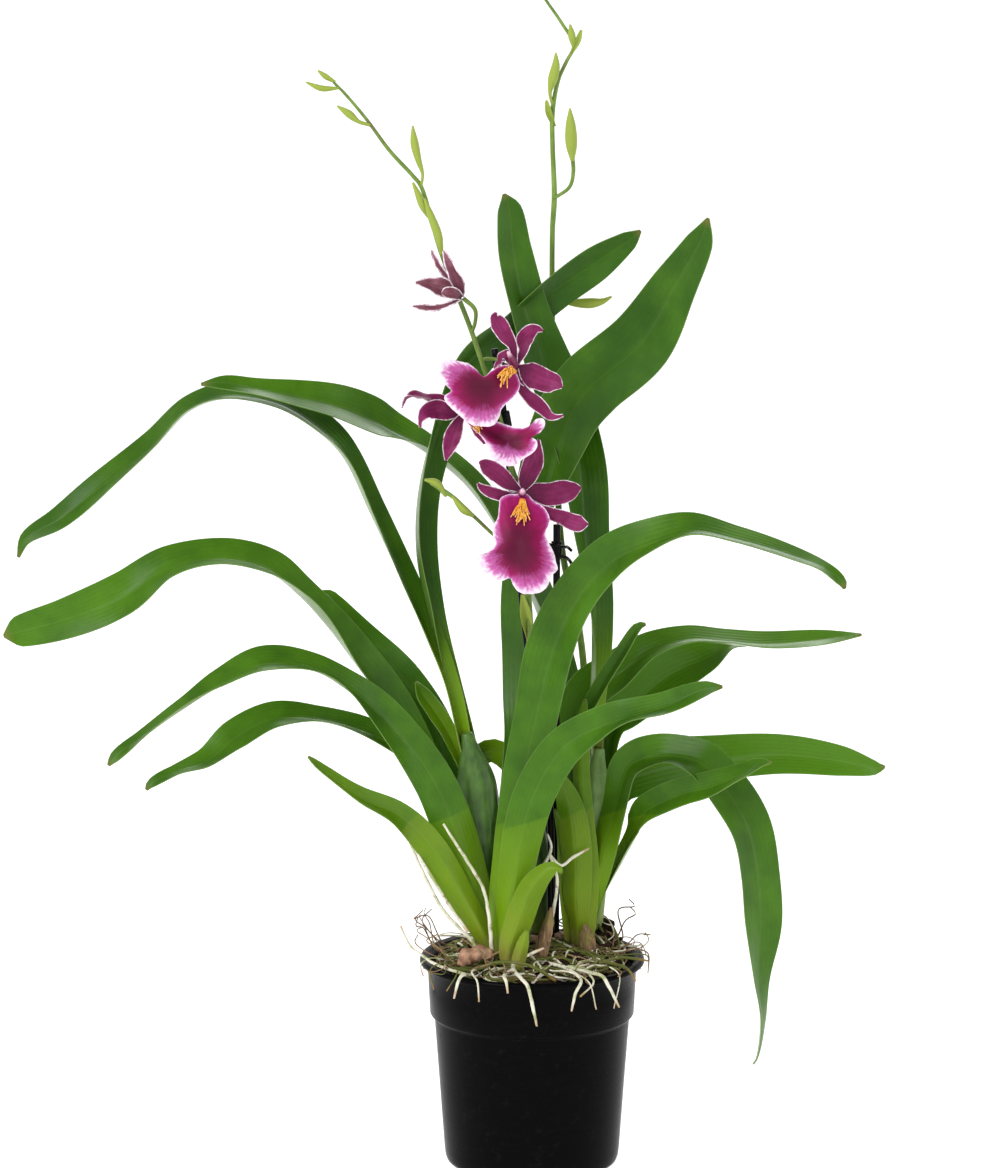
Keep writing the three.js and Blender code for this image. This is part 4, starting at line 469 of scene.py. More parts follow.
# %% The leaves: x, y, z of the midrib, width, turn and fold
LEAVES = {
    "leaf_left_tall": [
        (-34, 11.5, 217, 13, 12, 62), (-42, 15, 255, 14, 45, 42), (-52, 21, 282, 18, 60, 34),
        (-65, 30, 311, 20, 65, 28), (-81, 39, 346, 24, 72, 26), (-96, 44, 376, 26, 75, 22),
        (-111, 50, 391, 26, 70, 22), (-135, 54, 405, 26, 72, 20), (-166, 55, 409, 26, 78, 20),
        (-186, 53, 402, 26, 76, 20), (-206, 50, 382, 26, 68, 20), (-228, 46, 363, 22, 56, 18),
        (-253, 42, 342, 14, 30, 16), (-271, 39, 331, 7, 12, 12), (-275, 38, 321, 1.6, 12, 6)],
    "leaf_left_rear": [
        (-31, 17.5, 217, 12, 12, 62), (-42, 22, 258, 14, 38, 48), (-50, 26, 294, 18, 60, 42),
        (-55, 30, 327, 22, 62, 40), (-53, 33, 361, 24, 54, 40), (-44, 40, 396, 24, 38, 38),
        (-30, 46, 425, 24, 28, 30), (-9, 52, 442, 24, 34, 26), (13, 56, 461, 22, 24, 22),
        (35, 58, 477, 20, 12, 18), (52, 60, 489, 11, 12, 16), (58, 60, 494, 1.6, 12, 10)],
    "leaf_left_broad": [
        (-26, 20, 112, 9, 10, 58), (-30, 22, 140, 13, 12, 58), (-43, 23, 172, 17, 18, 50),
        (-49, 21, 188, 18, 22, 48), (-55, 20, 212, 20, 30, 44), (-69, 18, 243, 25, 50, 38),
        (-87, 9, 271, 28, 68, 32), (-103, -2, 296, 29, 78, 30), (-117, -9, 312, 29, 80, 26),
        (-134, -16, 326, 29, 74, 24), (-161, -24, 334, 29, 70, 22), (-189, -29, 329, 29, 58, 20),
        (-212, -33, 313, 26, 34, 16), (-240, -38, 301, 22, 14, 14), (-266, -41, 294, 16, 12, 10),
        (-273, -42, 292, 1.6, 12, 8)],
    "leaf_left_curled": [
        (-24, 26, 113, 8, 12, 56), (-29, 27, 140, 13, 12, 56), (-38, 28, 176, 15, 24, 46),
        (-43, 31, 202, 18, 30, 36), (-49, 34, 226, 21, 22, 36), (-68, 40, 254, 22, 24, 28),
        (-89, 46, 277, 20, 50, 24), (-104, 51, 294, 12, 60, 24), (-109, 52, 299, 7, 58, 24),
        (-115, 53, 300, 1.6, 56, 20)],
    "leaf_left_short": [
        (-30, 21, 192, 6, 12, 50), (-38, 24, 214, 9, 14, 40), (-45, 26, 229, 11, 18, 34),
        (-52, 27, 240, 11, 20, 30), (-58, 28, 248, 9, 18, 28), (-62, 28, 255, 1.6, 12, 16)],
    "leaf_left_front": [
        (-19, -6, 113, 11, 12, -40), (-23, -6, 126, 18, 12, -40), (-28, -5, 138, 21, 12, -36),
        (-38, -6, 171, 24, 12, -24), (-51, -10, 207, 22, 14, -4), (-71, -18, 239, 22, 38, 20),
        (-92, -27, 264, 22, 68, 30), (-112, -36, 277, 22, 72, 24), (-140, -46, 281, 22, 64, 22),
        (-162, -54, 272, 21, 68, 22), (-181, -61, 260, 17, 80, 20), (-202, -66, 244, 11, 72, 16),
        (-214, -70, 234, 6, 28, 12), (-217, -71, 230, 1.6, 12, 8)],
    "leaf_left_low": [
        (-26, 8, 113, 6, 20, 50), (-34, 8, 138, 8, 20, 50), (-40, 7, 165, 9, 30, 48),
        (-46, 6, 199, 13, 34, 38), (-54, 7, 212, 15, 38, 38), (-65, 8, 222, 17, 46, 34),
        (-77, 9, 229, 18, 56, 30), (-89, 9, 235, 20, 64, 26), (-112, 5, 242, 20, 74, 24),
        (-137, -2, 243, 20, 54, 22), (-157, -10, 234, 20, 40, 22), (-172, -18, 223, 17, 58, 20),
        (-187, -25, 218, 11, 66, 16), (-200, -28, 211, 5, 28, 12), (-202, -28, 208, 1.6, 12, 6)],
    "leaf_left_sheath": [
        (-20, -15, 114, 10, 12, -40), (-27, -16, 129, 14, 12, -40), (-38, -17, 149, 17, 12, -32),
        (-53, -20, 175, 16, 20, -12), (-69, -26, 194, 15, 40, 14), (-89, -36, 207, 14, 64, 28),
        (-105, -44, 220, 10, 68, 26), (-112, -47, 226, 6, 64, 20), (-116, -49, 230, 1.6, 58, 10)],
    "leaf_centre_broad": [
        (-14, 1, 113, 8, -10, 60), (-15, 1, 140, 14, -10, 58), (-15, 2, 165, 19, -10, 52),
        (-11, 4, 190, 21, -14, 46), (-9, 7, 208, 21, -20, 44), (-8, 12, 228, 23, -35, 42),
        (-9, 20, 250, 27, -48, 38), (-9, 26, 272, 29, -54, 36), (-9, 30, 296, 32, -58, 34),
        (-7, 31, 320, 35, -58, 34), (-3, 31, 343, 36, -50, 34), (4, 30, 363, 36, -36, 34),
        (12, 28, 384, 37, -20, 28), (21, 25, 403, 38, -14, 24), (31, 20, 416, 39, -12, 22),
        (56, 8, 439, 37, -12, 22), (73, -2, 469, 26, -12, 20), (86, -9, 493, 15, -12, 18),
        (90, -12, 505, 1.6, -12, 10)],
    "leaf_centre_short": [
        (-1, 28, 185, 8, 12, 50), (-6, 27, 198, 11, 20, 40), (-12, 26, 212, 14, 20, 30),
        (-21, 26, 218, 14, 14, 26), (-29, 26, 215, 11, 12, 22), (-34, 26, 213, 1.6, 12, 10)],
    "leaf_back_long": [
        (30, 38, 107, 7, 26, 58), (32, 46, 150, 13, 30, 55), (32, 49, 194, 17, 42, 50),
        (30, 51, 221, 20, 50, 44), (24, 55, 244, 22, 56, 40), (12, 58, 285, 26, 64, 38),
        (-7, 61, 326, 27, 68, 30), (-31, 64, 361, 27, 74, 28), (-55, 65, 380, 27, 78, 26),
        (-73, 64, 389, 27, 66, 22), (-84, 60, 395, 27, 52, 20), (-104, 48, 404, 24, 48, 18),
        (-124, 41, 409, 20, 50, 16), (-148, 39, 413, 14, 56, 14), (-164, 38, 415, 9, 40, 10),
        (-176, 38, 414, 1.6, 30, 6)],
    "leaf_front_tall": [
        (-18, -14, 113, 11, -12, -44), (-17, -14, 125, 16, -12, -44), (-14, -14, 146, 23, -12, -38),
        (-11, -14, 164, 25, -12, -32), (-6, -15, 201, 24, -14, -18), (1, -19, 242, 26, -28, 6),
        (8, -26, 280, 29, -28, 22), (20, -36, 310, 29, -32, 26), (37, -48, 333, 29, -44, 24),
        (57, -60, 346, 29, -62, 22), (80, -70, 354, 28, -72, 20), (104, -78, 350, 24, -76, 20),
        (132, -85, 341, 16, -72, 16), (146, -88, 335, 11, -66, 12), (155, -88, 327, 5, -28, 10),
        (156, -88, 324, 1.6, -12, 6)],
    "leaf_front_low": [
        (-14, -21, 113, 9, -12, -40), (-14, -21, 125, 15, -12, -40), (-11, -21, 142, 20, -12, -34),
        (-6, -23, 179, 22, -12, -20), (2, -27, 208, 22, -12, 0), (15, -34, 231, 22, -16, 18),
        (32, -45, 246, 21, -42, 28), (48, -55, 255, 21, -66, 24), (67, -63, 261, 17, -54, 22),
        (88, -70, 270, 8, -22, 18), (96, -72, 271, 1.6, -12, 8)],
    "leaf_front_shoot": [
        (-13, -29, 113, 9, -12, -40), (-12, -29, 123, 15, -12, -40), (-7, -30, 139, 18, -12, -36),
        (0, -33, 157, 16, -16, -32), (8, -37, 167, 10, -20, -26), (13, -39, 169, 5, -18, -20),
        (15, -40, 166, 1.6, -14, -14)],
    "leaf_front_bud": [
        (-9, -36, 112, 7, -12, -36), (-7, -36, 120, 9, -12, -36), (-5, -37, 128, 7, -12, -30),
        (-3, -37, 135, 1.6, -12, -10)],
    "leaf_right_tall": [
        (35, 16, 216, 12, 30, 60), (36, 15, 242, 15, 58, 46), (38, 16, 272, 20, 56, 42),
        (37, 19, 300, 24, 48, 36), (32, 25, 334, 27, 34, 32), (27, 36, 372, 29, 16, 30),
        (16, 44, 408, 31, 12, 30), (8, 47, 427, 29, 18, 28), (-2, 48, 456, 25, 28, 26),
        (-9, 50, 484, 20, 16, 22), (-12, 52, 506, 14, 12, 20), (-15, 53, 514, 1.6, 12, 10)],
    "leaf_right_grey": [
        (9, 38, 108, 7, -12, 58), (8, 39, 161, 12, -12, 58), (16, 38, 215, 22, -12, 42),
        (23, 36, 235, 26, -12, 36), (31, 35, 250, 27, -20, 32), (43, 33, 259, 26, -32, 30),
        (63, 35, 274, 25, -58, 26), (84, 36, 280, 25, -76, 22), (104, 35, 279, 25, -84, 20),
        (126, 33, 277, 23, -76, 18), (154, 29, 279, 14, -62, 14), (176, 26, 281, 1.6, -54, 6)],
    "leaf_right_bright": [
        (34, 35, 107, 7, -12, 58), (38, 38, 162, 12, -20, 56), (38, 40, 190, 18, -30, 46),
        (38, 43, 210, 22, -42, 40), (42, 46, 229, 26, -38, 34), (52, 49, 237, 26, -26, 30),
        (74, 55, 254, 27, -16, 24), (95, 59, 264, 21, -38, 20), (108, 61, 270, 12, -68, 18),
        (117, 61, 269, 1.6, -74, 8)],
    "leaf_right_curled": [
        (20, 10, 113, 6, -12, 54), (21, 10, 150, 8, -16, 50), (21, 10, 187, 9, -18, 46),
        (22, 9, 211, 10, -20, 40), (25, 7, 235, 10, -24, 40), (35, 4, 257, 10, -38, 32),
        (47, 4, 276, 8, -32, 28), (56, 6, 289, 5, -12, 24), (60, 7, 290, 1.6, -12, 20)],
    "leaf_right_long": [
        (31, 22, 113, 7, -12, 58), (33, 23, 146, 11, -12, 56), (37, 25, 170, 15, -12, 48),
        (42, 28, 189, 20, -12, 40), (49, 30, 200, 26, -12, 32), (69, 29, 209, 30, -12, 26),
        (100, 26, 214, 26, -14, 20), (133, 22, 217, 23, -28, 16), (165, 18, 214, 17, -20, 14),
        (183, 14, 211, 8, -12, 10), (188, 12, 212, 1.6, -12, 6)],
    "leaf_right_drooping": [
        (29, 7, 113, 7, -20, -40), (32, 6, 136, 9, -26, -36), (36, 4, 155, 14, -34, -28),
        (43, 1, 190, 18, -46, 10), (48, -3, 215, 21, -42, 30), (55, -6, 222, 23, -46, 32),
        (73, -14, 227, 25, -58, 28), (89, -21, 223, 26, -38, 24), (102, -25, 209, 26, -28, 22),
        (114, -30, 189, 26, -32, 18), (119, -35, 165, 26, -32, 16), (121, -39, 139, 26, -38, 16),
        (120, -42, 110, 21, -62, 16), (121, -43, 87, 14, -76, 12), (118, -42, 67, 5, -80, 10),
        (116, -42, 64, 1.6, -80, 6)],
    "leaf_right_low": [
        (30, 10, 113, 7, -30, 54), (35, 10, 140, 9, -40, 50), (45, 8, 162, 11, -50, 46),
        (52, 3, 178, 13, -58, 40), (54, -5, 187, 15, -52, 36), (58, -12, 194, 17, -44, 32),
        (69, -21, 202, 18, -38, 28), (80, -29, 208, 18, -40, 26), (91, -37, 213, 18, -48, 26),
        (107, -48, 222, 13, -66, 20), (117, -55, 228, 6, -50, 14), (122, -58, 229, 1.6, -42, 10)],
    "leaf_right_bent": [
        (25, 3, 113, 8, -12, -36), (25, 2, 127, 11, -12, -36), (24, 0, 141, 16, -12, -30),
        (24, -1, 158, 18, -12, -28), (23, -3, 175, 18, -12, -24), (21, -4, 190, 16, -12, -18),
        (15, -6, 208, 8, 12, 0), (9, -7, 215, 1.6, 12, 8)],
    "leaf_right_pointed": [
        (29, 3, 113, 8, -12, -34), (30, 3, 138, 12, -12, -34), (30, 2, 157, 13, -12, -30),
        (29, 1, 176, 12, -14, -28), (27, 1, 196, 11, -16, -26), (26, 0, 215, 10, -18, -20),
        (26, 0, 232, 9, -12, -10), (28, 0, 251, 1.6, -12, 8)],
    "leaf_right_stub": [
        (20, 3, 113, 6, -12, 50), (18, 0, 150, 10, -14, 38), (16, -1, 176, 8, -32, 32),
        (12, -2, 192, 1.6, -46, 10)],
}
YOUNG = ["leaf_left_sheath", "leaf_front_shoot", "leaf_front_bud", "leaf_right_bent",
         "leaf_right_pointed", "leaf_right_stub"]
# Each leaf's tone is partly its own colour and partly painted highlight: leaf_right_bright and
# leaf_left_broad are made paler to paint the glare of light on them.
LEAF_TONE_AND_GLARE = {  # 0 for the darkest leaf, 1 for the freshest, and 0.5 for those not named
    "leaf_right_grey": 0.75, "leaf_right_bright": 0.95, "leaf_right_long": 0.9,
    "leaf_left_rear": 0.25, "leaf_right_tall": 0.3, "leaf_centre_broad": 0.35,
    "leaf_left_tall": 0.4, "leaf_left_broad": 0.55}

for count, (name, rows) in enumerate(LEAVES.items()):
    young = name in YOUNG
    leaf = blade(rows, wave=0.35 if young else 0.8, waves=2.5 + count % 3, phase=1.7 * count,
                 tint=LEAF_TONE_AND_GLARE.get(name, 0.5))
    piece(f"{name}.grown", [leaf], YOUNG_LEAF if young else LEAF, [name])

# %% [markdown]
# Each growth stands on a pseudobulb, a flattened green store as thick as a thumb, which shrinks a
# little between waterings and so has shallow lengthwise furrows. A narrow neck joins it to its
# leaves. A bulb is a rod with an oval section, so it reuses the station frame of the leaf: its
# half width lies across the view and its half depth towards it. Below the bulbs creeps the
# rhizome, a knobbly pinkish-brown rod, whose bare end shows at the front left.

# %% Bulbs and rhizome
FURROWS = 9


def bulb(rows, sides=40, gap=1.6, furrow=0.035):
    """Ring point = place + side w cos a + face d sin a, both scaled by 1 + furrow cos(9 a), and
    the furrow fades at both ends."""
    length = route(rows, 2)[3]
    place, heading, values, _ = route(rows, int(length / gap))
    face, side = facing(heading, np.zeros(len(place)))
    angle = 2 * np.pi * (np.arange(sides)[None, :] + 0.5) / sides
    share = np.linspace(0, 1, len(place))[:, None]
    uneven = 1 + furrow * np.cos(FURROWS * angle + 2 * share) * np.sin(np.pi * share)
    wide = (values[:, :1] * uneven * np.cos(angle))[..., None]
    deep = (values[:, 1:2] * uneven * np.sin(angle))[..., None]
    rings = place[:, None] + wide * side[:, None] + deep * face[:, None]
    flat = np.ones_like(share * angle)
    spot = np.stack([np.cos(angle) * flat, share * length * flat, np.sin(angle) * flat], -1)
    return closed_body(rings, spot=spot, tint=np.full(rings.shape[:2], 0.5))


def bulb_finish(name, deep, fresh, foot):
    """Green streaked lengthwise, tanned towards the foot, with a few brown freckles."""
    f = Finish(name, roughness=0.34, specular_ior_level=0.3, coat_weight=0.05, coat_roughness=0.25,
               subsurface_weight=0.06, subsurface_scale=0.003)
    _, run, _ = f.facts("spot")
    streak = f.noise(2.2, at=f.grain(f.place(), (1.0, 1.0, 0.1)))
    skin = f.mix((f.noise(12) * 0.7 + streak * 0.5).ramp(0.3, 0.9), colour(deep), colour(fresh))
    skin = f.mix((1 - (run / 34).ramp(0.1, 1.0)) * 0.8, skin, colour(foot))
    freckles = f.noise(1.1, detail=1.0).ramp(0.66, 0.72) * 0.35
    skin = f.mix(freckles, skin, colour("#5c4a22"))
    return f.done(base_color=skin, roughness=streak * 0.2 + 0.26, normal=f.relief(streak, 0.25))


def rhizome_finish():
    """Pinkish tan, ringed with dark scars at a spacing that wanders."""
    f = Finish("rhizome bark", roughness=0.75)
    _, run, _ = f.facts("spot")
    rings = (run * 1.6 + f.noise(6) * 5).sine() * 0.5 + 0.5
    skin = f.mix(f.noise(5, detail=5.0).ramp(0.35, 0.7), colour("#8a6048"), colour("#c09a7c"))
    skin = f.mix(rings * 0.35, skin, colour("#54382a"))
    return f.done(base_color=skin, normal=f.relief(rings + f.noise(1.5, detail=5.0), 0.5))


RHIZOME = [
    (-36, 6, 108, 3), (-27, 5, 114, 6), (-14, 1, 117, 5.5), (4, 10, 115, 5), (20, 17, 115, 5.5),
    (34, 18, 115, 6), (42, 20, 112, 3)]
RHIZOME_KNOB = [
    (-38, -34, 115, 2), (-35, -33, 119, 4.2), (-30, -32, 121, 4), (-26, -30, 121, 3.6),
    (-22, -27, 119, 3)]
BULBS = {
    "bulb_left": [
        (-23, 11, 123, 3.5, 3.5), (-25, 12, 150, 7.5, 6), (-28, 12, 180, 11, 8), (-30, 12, 204, 10.5, 7.5),
        (-33, 13, 221, 5.4, 4.2), (-35, 14.5, 230, 3, 2.4)],
    "bulb_right": [
        (33, 16, 122, 5, 4), (33, 16, 150, 7.6, 5.5), (34, 16, 178, 8, 6), (34.5, 16, 200, 6.5, 5),
        (35, 16, 213, 4.4, 3.6), (35.5, 16.5, 221, 3, 2.4)],
    "bulb_back": [
        (5, 28, 111, 4, 4), (3, 30, 140, 7, 6), (2, 31, 165, 7, 6), (1, 30, 182, 4.2, 3.6),
        (-0.5, 28.5, 190, 3, 2.4)],
}
BULB = bulb_finish("green bulb", "#2c4a1b", "#557c2f", "#6f8432")
GREY_BULB = bulb_finish("grey-green bulb", "#567a3a", "#86a45c", "#7c8a45")
RHIZOME_FINISH = rhizome_finish()
piece("rhizome.grown", [rod(RHIZOME, gap=1.0, sides=24, knobs=0.05, knob_length=8)], RHIZOME_FINISH,
      ["rhizome"])
piece("rhizome_knob.grown", [rod(RHIZOME_KNOB, gap=0.5, sides=24, knobs=0.12, knob_length=7, seed=2)],
      RHIZOME_FINISH, ["rhizome_knob"])
for name, rows in BULBS.items():
    finish, slot = (GREY_BULB, "grey_bulb") if name == "bulb_right" else (BULB, "bulb")
    piece(f"{name}.grown", [bulb(rows)], finish, [name])

# %% [markdown]
# A flower spike is a thin green cane with a bract at each joint. Side stalks leave it there, and
# the unopened buds sit at their ends like grains of wheat, yellow-green and pointed. The solid
# model has the same lines, so the rods below follow them at full roundness.

# %% Stem, bud and bract finish
def stem_finish():
    """Cane green by tint, brighter on buds, with dusky wine patches on the stem alone."""
    f = Finish("flower stem", roughness=0.4, specular_ior_level=0.25)
    tint = f.fact("tint", "Fac")
    streak = f.noise(1.2, at=f.grain(f.place(), (1.0, 1.0, 0.15)))
    skin = f.mix((f.noise(14) * 0.8 + streak * 0.3).ramp(0.3, 0.9), colour("#4f6a24"), colour("#7f9a45"))
    skin = f.mix(tint.ramp(0.55, 0.8), skin, colour("#8a9a3c"))
    dusk = f.noise(18).ramp(0.52, 0.75) * (1 - tint.ramp(0.55, 0.8)) * 0.55
    skin = f.mix(dusk, skin, colour("#6b4a46"))
    return f.done(base_color=skin, roughness=streak * 0.2 + 0.32, normal=f.relief(streak, 0.08))


STEM = stem_finish()

# %% The two spikes: lines with their radius, bracts with width, turn and fold
SPIKE_LEFT = {
    "stem": [
        (-3, 3, 112, 2.2), (-2, 2, 169, 2.2), (0, 1, 218, 2.1), (-1, -6, 280, 2), (-4, -10, 327, 1.7),
        (-9, -11, 364, 1.6), (-17, -11, 400, 1.5), (-31, -9, 444, 1.3), (-48, -6, 488, 1.2),
        (-58, -2, 521, 1.1), (-62, -1, 526, 1.1), (-74, 0, 539, 1), (-86, 2, 555, 0.9), (-97, 3, 568, 0.8),
        (-103, 4, 574, 0.7)],
    "twigs": [
        [(-17, -11, 337, 0.8), (-21, -13, 341, 0.9), (-31, -16, 351, 1), (-41, -20, 361, 1.1),
         (-48, -22, 366, 1.2), (-53, -24, 369, 0.7)],
        [(-6, -11, 331, 0.9), (-17, -11, 337, 0.8)],
        [(-32, -9, 445, 0.9), (-30, -11, 451, 1), (-30, -13, 458, 1.1), (-36, -14, 464, 1.2)],
        [(-26, -10, 432, 0.9), (-20, -9, 432, 1), (-14, -12, 429, 1.1)],
        [(-22, -11, 414, 0.9), (-26, -11, 412, 1), (-31.5, -14, 407.5, 1.1)],
        [(-14, -11, 386, 0.9), (-11, -11.5, 377, 1), (-8, -14, 368, 1.2)]],
    "buds": [
        [(-102, 4, 574, 0.7), (-107, 4, 577, 1.5), (-111, 4, 580, 0.5)],
        [(-100, 3, 571, 0.6), (-109, 2, 571, 1.6), (-117, 2, 574, 0.5)],
        [(-84, 1, 552, 0.8), (-90, 0, 554, 1.1), (-95, 0, 558, 2), (-101, 0, 562, 0.5)],
        [(-58, -2, 520, 0.8), (-57, -3, 527, 0.8), (-59, -4, 534, 1.6), (-61, -5, 543, 2.1),
         (-62, -5, 552, 0.5)],
        [(-54, -5, 505, 0.8), (-57, -7, 512, 2.2), (-62, -7, 523, 0.6)],
        [(-47, -7, 486, 0.8), (-49, -9, 496, 2.2), (-53, -10, 507, 1.8), (-56, -10, 515, 0.5)],
        [(-45, -20, 362, 1), (-50, -23, 369, 2), (-56, -25, 371, 0.6)],
        [(-31, -17, 351, 1), (-36, -20, 355, 2.1), (-42, -21, 362, 0.6)]],
    "bracts": [
        [(-2, -7, 284, 3, 20, 50), (-3.2, -11, 296, 8, 10, 42), (-5.5, -12.5, 309, 1.6, 0, 20)]],
}
SPIKE_RIGHT = {
    "stem": [
        (34, 30, 112, 2.2), (33, 34, 167, 2.1), (32, 42, 199, 2), (29, 48, 240, 1.9), (28, 48, 261, 1.9),
        (25, 43, 285, 1.8), (19, 36, 310, 1.8), (16, 32, 327, 1.7), (14, 38, 352, 1.7), (12, 54, 405, 1.6),
        (11, 62, 430, 1.5), (11, 68, 455, 1.5), (11, 68, 494, 1.4), (12, 67, 511, 1.5), (11, 66, 537, 1.3),
        (11, 65, 558, 1.3), (14, 64, 574, 1.1), (18, 63, 583, 1), (22, 62, 592, 0.9), (16, 62, 603, 0.9),
        (7, 62, 616, 0.8), (2, 62, 624, 0.7), (-2, 62, 633, 0.7)],
    "twigs": [
        [(12, 66, 511, 0.9), (20, 64, 517, 1), (22, 62, 525, 1.1), (21.5, 60, 533, 1.2)],
        [(11, 66, 447, 0.8), (14, 69, 454, 1), (20, 69, 455, 1.1)]],
    "buds": [
        [(21.5, 60, 531, 1), (21, 59, 540, 3.1), (20.5, 57, 550, 2.7), (20, 56, 559, 0.5)],
        [(11, 65, 560, 0.8), (9.5, 62, 567, 1), (11, 60, 574, 2.6), (12.5, 58, 581, 2.2),
         (12.5, 57, 588, 0.5)],
        [(22, 62, 591, 0.8), (21, 60, 597, 2), (20, 59, 603, 0.5)],
        [(18, 69, 455, 1.1), (25, 69, 454.5, 2.4), (32, 69, 454.5, 2.8), (38, 69, 455.5, 1.7),
         (43, 70, 458, 0.5)],
        [(6, 62, 617, 0.8), (4, 61, 622, 1.7), (1, 61, 630, 0.5)],
        [(-2, 62, 631, 0.7), (-4, 62, 638, 1.6), (-7, 62, 645, 0.5)]],
    "bracts": [
        [(12, 65, 549, 2.4, 0, 50), (9, 62.5, 556, 4.5, -10, 40), (7.5, 62, 563, 1.4, -10, 20)],
        [(21, 61, 588, 2, 0, 50), (24, 60, 594, 4, 10, 40), (26, 60, 600, 1.4, 10, 20)]],
}


def spike(parts):
    """The stem, its side stalks, and the buds as three-ribbed rods."""
    bodies = [rod(parts["stem"], gap=2.0, sides=14, knobs=0.03, knob_length=40, tint=0.4)]
    bodies += [rod(rows, gap=1.2, sides=10, tint=0.5) for rows in parts["twigs"]]
    bodies += [rod(rows, gap=0.6, sides=18, ribs=3, rib=0.07, tint=0.9) for rows in parts["buds"]]
    return bodies


def bract(rows):
    """A small blade that carries only the facts that the rods of a spike carry."""
    points, faces, facts = blade(rows, gap=0.8, columns=9, thick=(0.5, 0.3), keel=0.2, tint=0.8)
    return points, faces, {"spot": facts["spot"], "tint": facts["tint"]}


for name, parts in {"spike_left": SPIKE_LEFT, "spike_right": SPIKE_RIGHT}.items():
    piece(f"{name}.grown", spike(parts) + [bract(rows) for rows in parts["bracts"]], STEM, [name])

# %% [markdown]
# Five narrow tepals stand behind each open flower's broad lip. They are velvety wine purple with
# faint darker veins, and the very edge is a crinkled white thread. The lip goes from a deep
# crimson heart through magenta to lilac, and its frilled border is nearly white. The border
# share that the lip carries, 0 at the edge and 1 where the pale band ends, drives that change.

# %% Petal finishes
def petal_finish(name, heart, body, glow, edge_width):
    """Tepals: body colour veined with heart, a lighter bloom of glow, and a white thread."""
    f = Finish(name, roughness=0.5, specular_ior_level=0.15, subsurface_weight=0.1,
               subsurface_scale=0.0015)
    across, _, margin = f.facts("spot")
    under, _, share = f.facts("detail")
    cloud = f.noise(7)
    veins = (across * 13 + cloud * 5).sine() * 0.5 + 0.5
    silk = f.mix((cloud * 0.9 + share * 0.15).ramp(0.4, 0.9), colour(body), colour(glow))
    silk = f.mix(veins * f.noise(3) * 0.45, silk, colour(heart))
    silk = f.mix((1 - share.ramp(0.0, 0.5)) * 0.75, silk, colour(heart))
    silk = f.mix(under * 0.25, silk, colour("#b088a0"))
    crinkle = f.noise(1.6, detail=2.0) * 0.5
    rim = 1 - ((margin / edge_width) + crinkle - 0.25).ramp(0.25, 1.0)
    silk = f.mix(rim * (f.noise(2.4) * 1.5).ramp(0.3, 1.0), silk, colour("#efe2ec"))
    height = veins * 0.6 + f.noise(0.8, detail=2.0) * 0.4
    return f.done(base_color=silk, normal=f.relief(height, 0.1))


def lip_finish():
    """Lip: crimson heart, magenta, lilac and white in turn as the border comes nearer."""
    f = Finish("lip petal", roughness=0.5, specular_ior_level=0.15, subsurface_weight=0.1,
               subsurface_scale=0.0015)
    turn, border, _ = f.facts("spot")
    under, reach, _ = f.facts("detail")
    cloud = f.noise(2.6, detail=5.0, rough=0.65)
    patches = f.noise(9, detail=2.0)
    rays = (turn * 47 + f.noise(4) * 8).sine() * 0.25 + 0.25 + f.noise(1.2, detail=2.0) * 0.5
    silk = f.mix((reach + patches * 0.4).ramp(0.45, 1.05), colour("#560a2c"), colour("#860f4a"))
    silk = f.mix((reach + cloud * 0.5).ramp(0.85, 1.4) * 0.8, silk, colour("#a0246e"))
    bleed = border + (cloud - 0.5) * 1.6 + (rays - 0.5) * 0.4 + (patches - 0.5) * 0.9
    silk = f.mix((1 - bleed.ramp(0.5, 2.4)) * 0.85, silk, colour("#bb62a6"))
    silk = f.mix((1 - bleed.ramp(0.05, 0.95)) * 0.92, silk, colour("#eedcec"))
    silk = f.mix(under * 0.3, silk, colour("#c690b4"))
    height = rays * 0.5 + cloud * 0.5
    return f.done(base_color=silk, normal=f.relief(height, 0.12))


def crest_finish():
    """Gold, orange where a finger starts, cream at its tip, with a few wine spots."""
    f = Finish("golden crest", roughness=0.55, subsurface_weight=0.1, subsurface_scale=0.001)
    _, run, left = f.facts("spot")
    gold = f.mix(f.noise(2.0).ramp(0.35, 0.65), colour("#d98a1c"), colour("#f0b440"))
    gold = f.mix((1 - (left / 2.0).ramp(0.0, 1.0)) * 0.5, gold, colour("#f6d58a"))
    gold = f.mix((1 - (run / 1.6).ramp(0.0, 1.0)) * 0.6, gold, colour("#a8540f"))
    gold = f.mix(f.noise(1.6).ramp(0.6, 0.66) * 0.7, gold, colour("#6b2417"))
    return f.done(base_color=gold, normal=f.relief(f.noise(0.5), 0.1))


def column_finish():
    """Wine purple, paler towards the cap at the end."""
    f = Finish("flower column", roughness=0.45, subsurface_weight=0.1, subsurface_scale=0.001)
    _, _, left = f.facts("spot")
    skin = f.mix((left / 5).ramp(0.1, 0.7), colour("#d9b4c6"), colour("#701a48"))
    skin = f.mix(f.noise(1.5).ramp(0.5, 0.7) * 0.35, skin, colour("#b8668e"))
    return f.done(base_color=skin, normal=f.relief(f.noise(0.8), 0.08))


PETAL = petal_finish("wine tepal", "#42102c", "#701a48", "#8f2f66", 0.55)
PALE_PETAL = petal_finish("half-open tepal", "#3f1c28", "#6b3a48", "#94646f", 0.9)
LIP = lip_finish()
CREST = crest_finish()
COLUMN = column_finish()

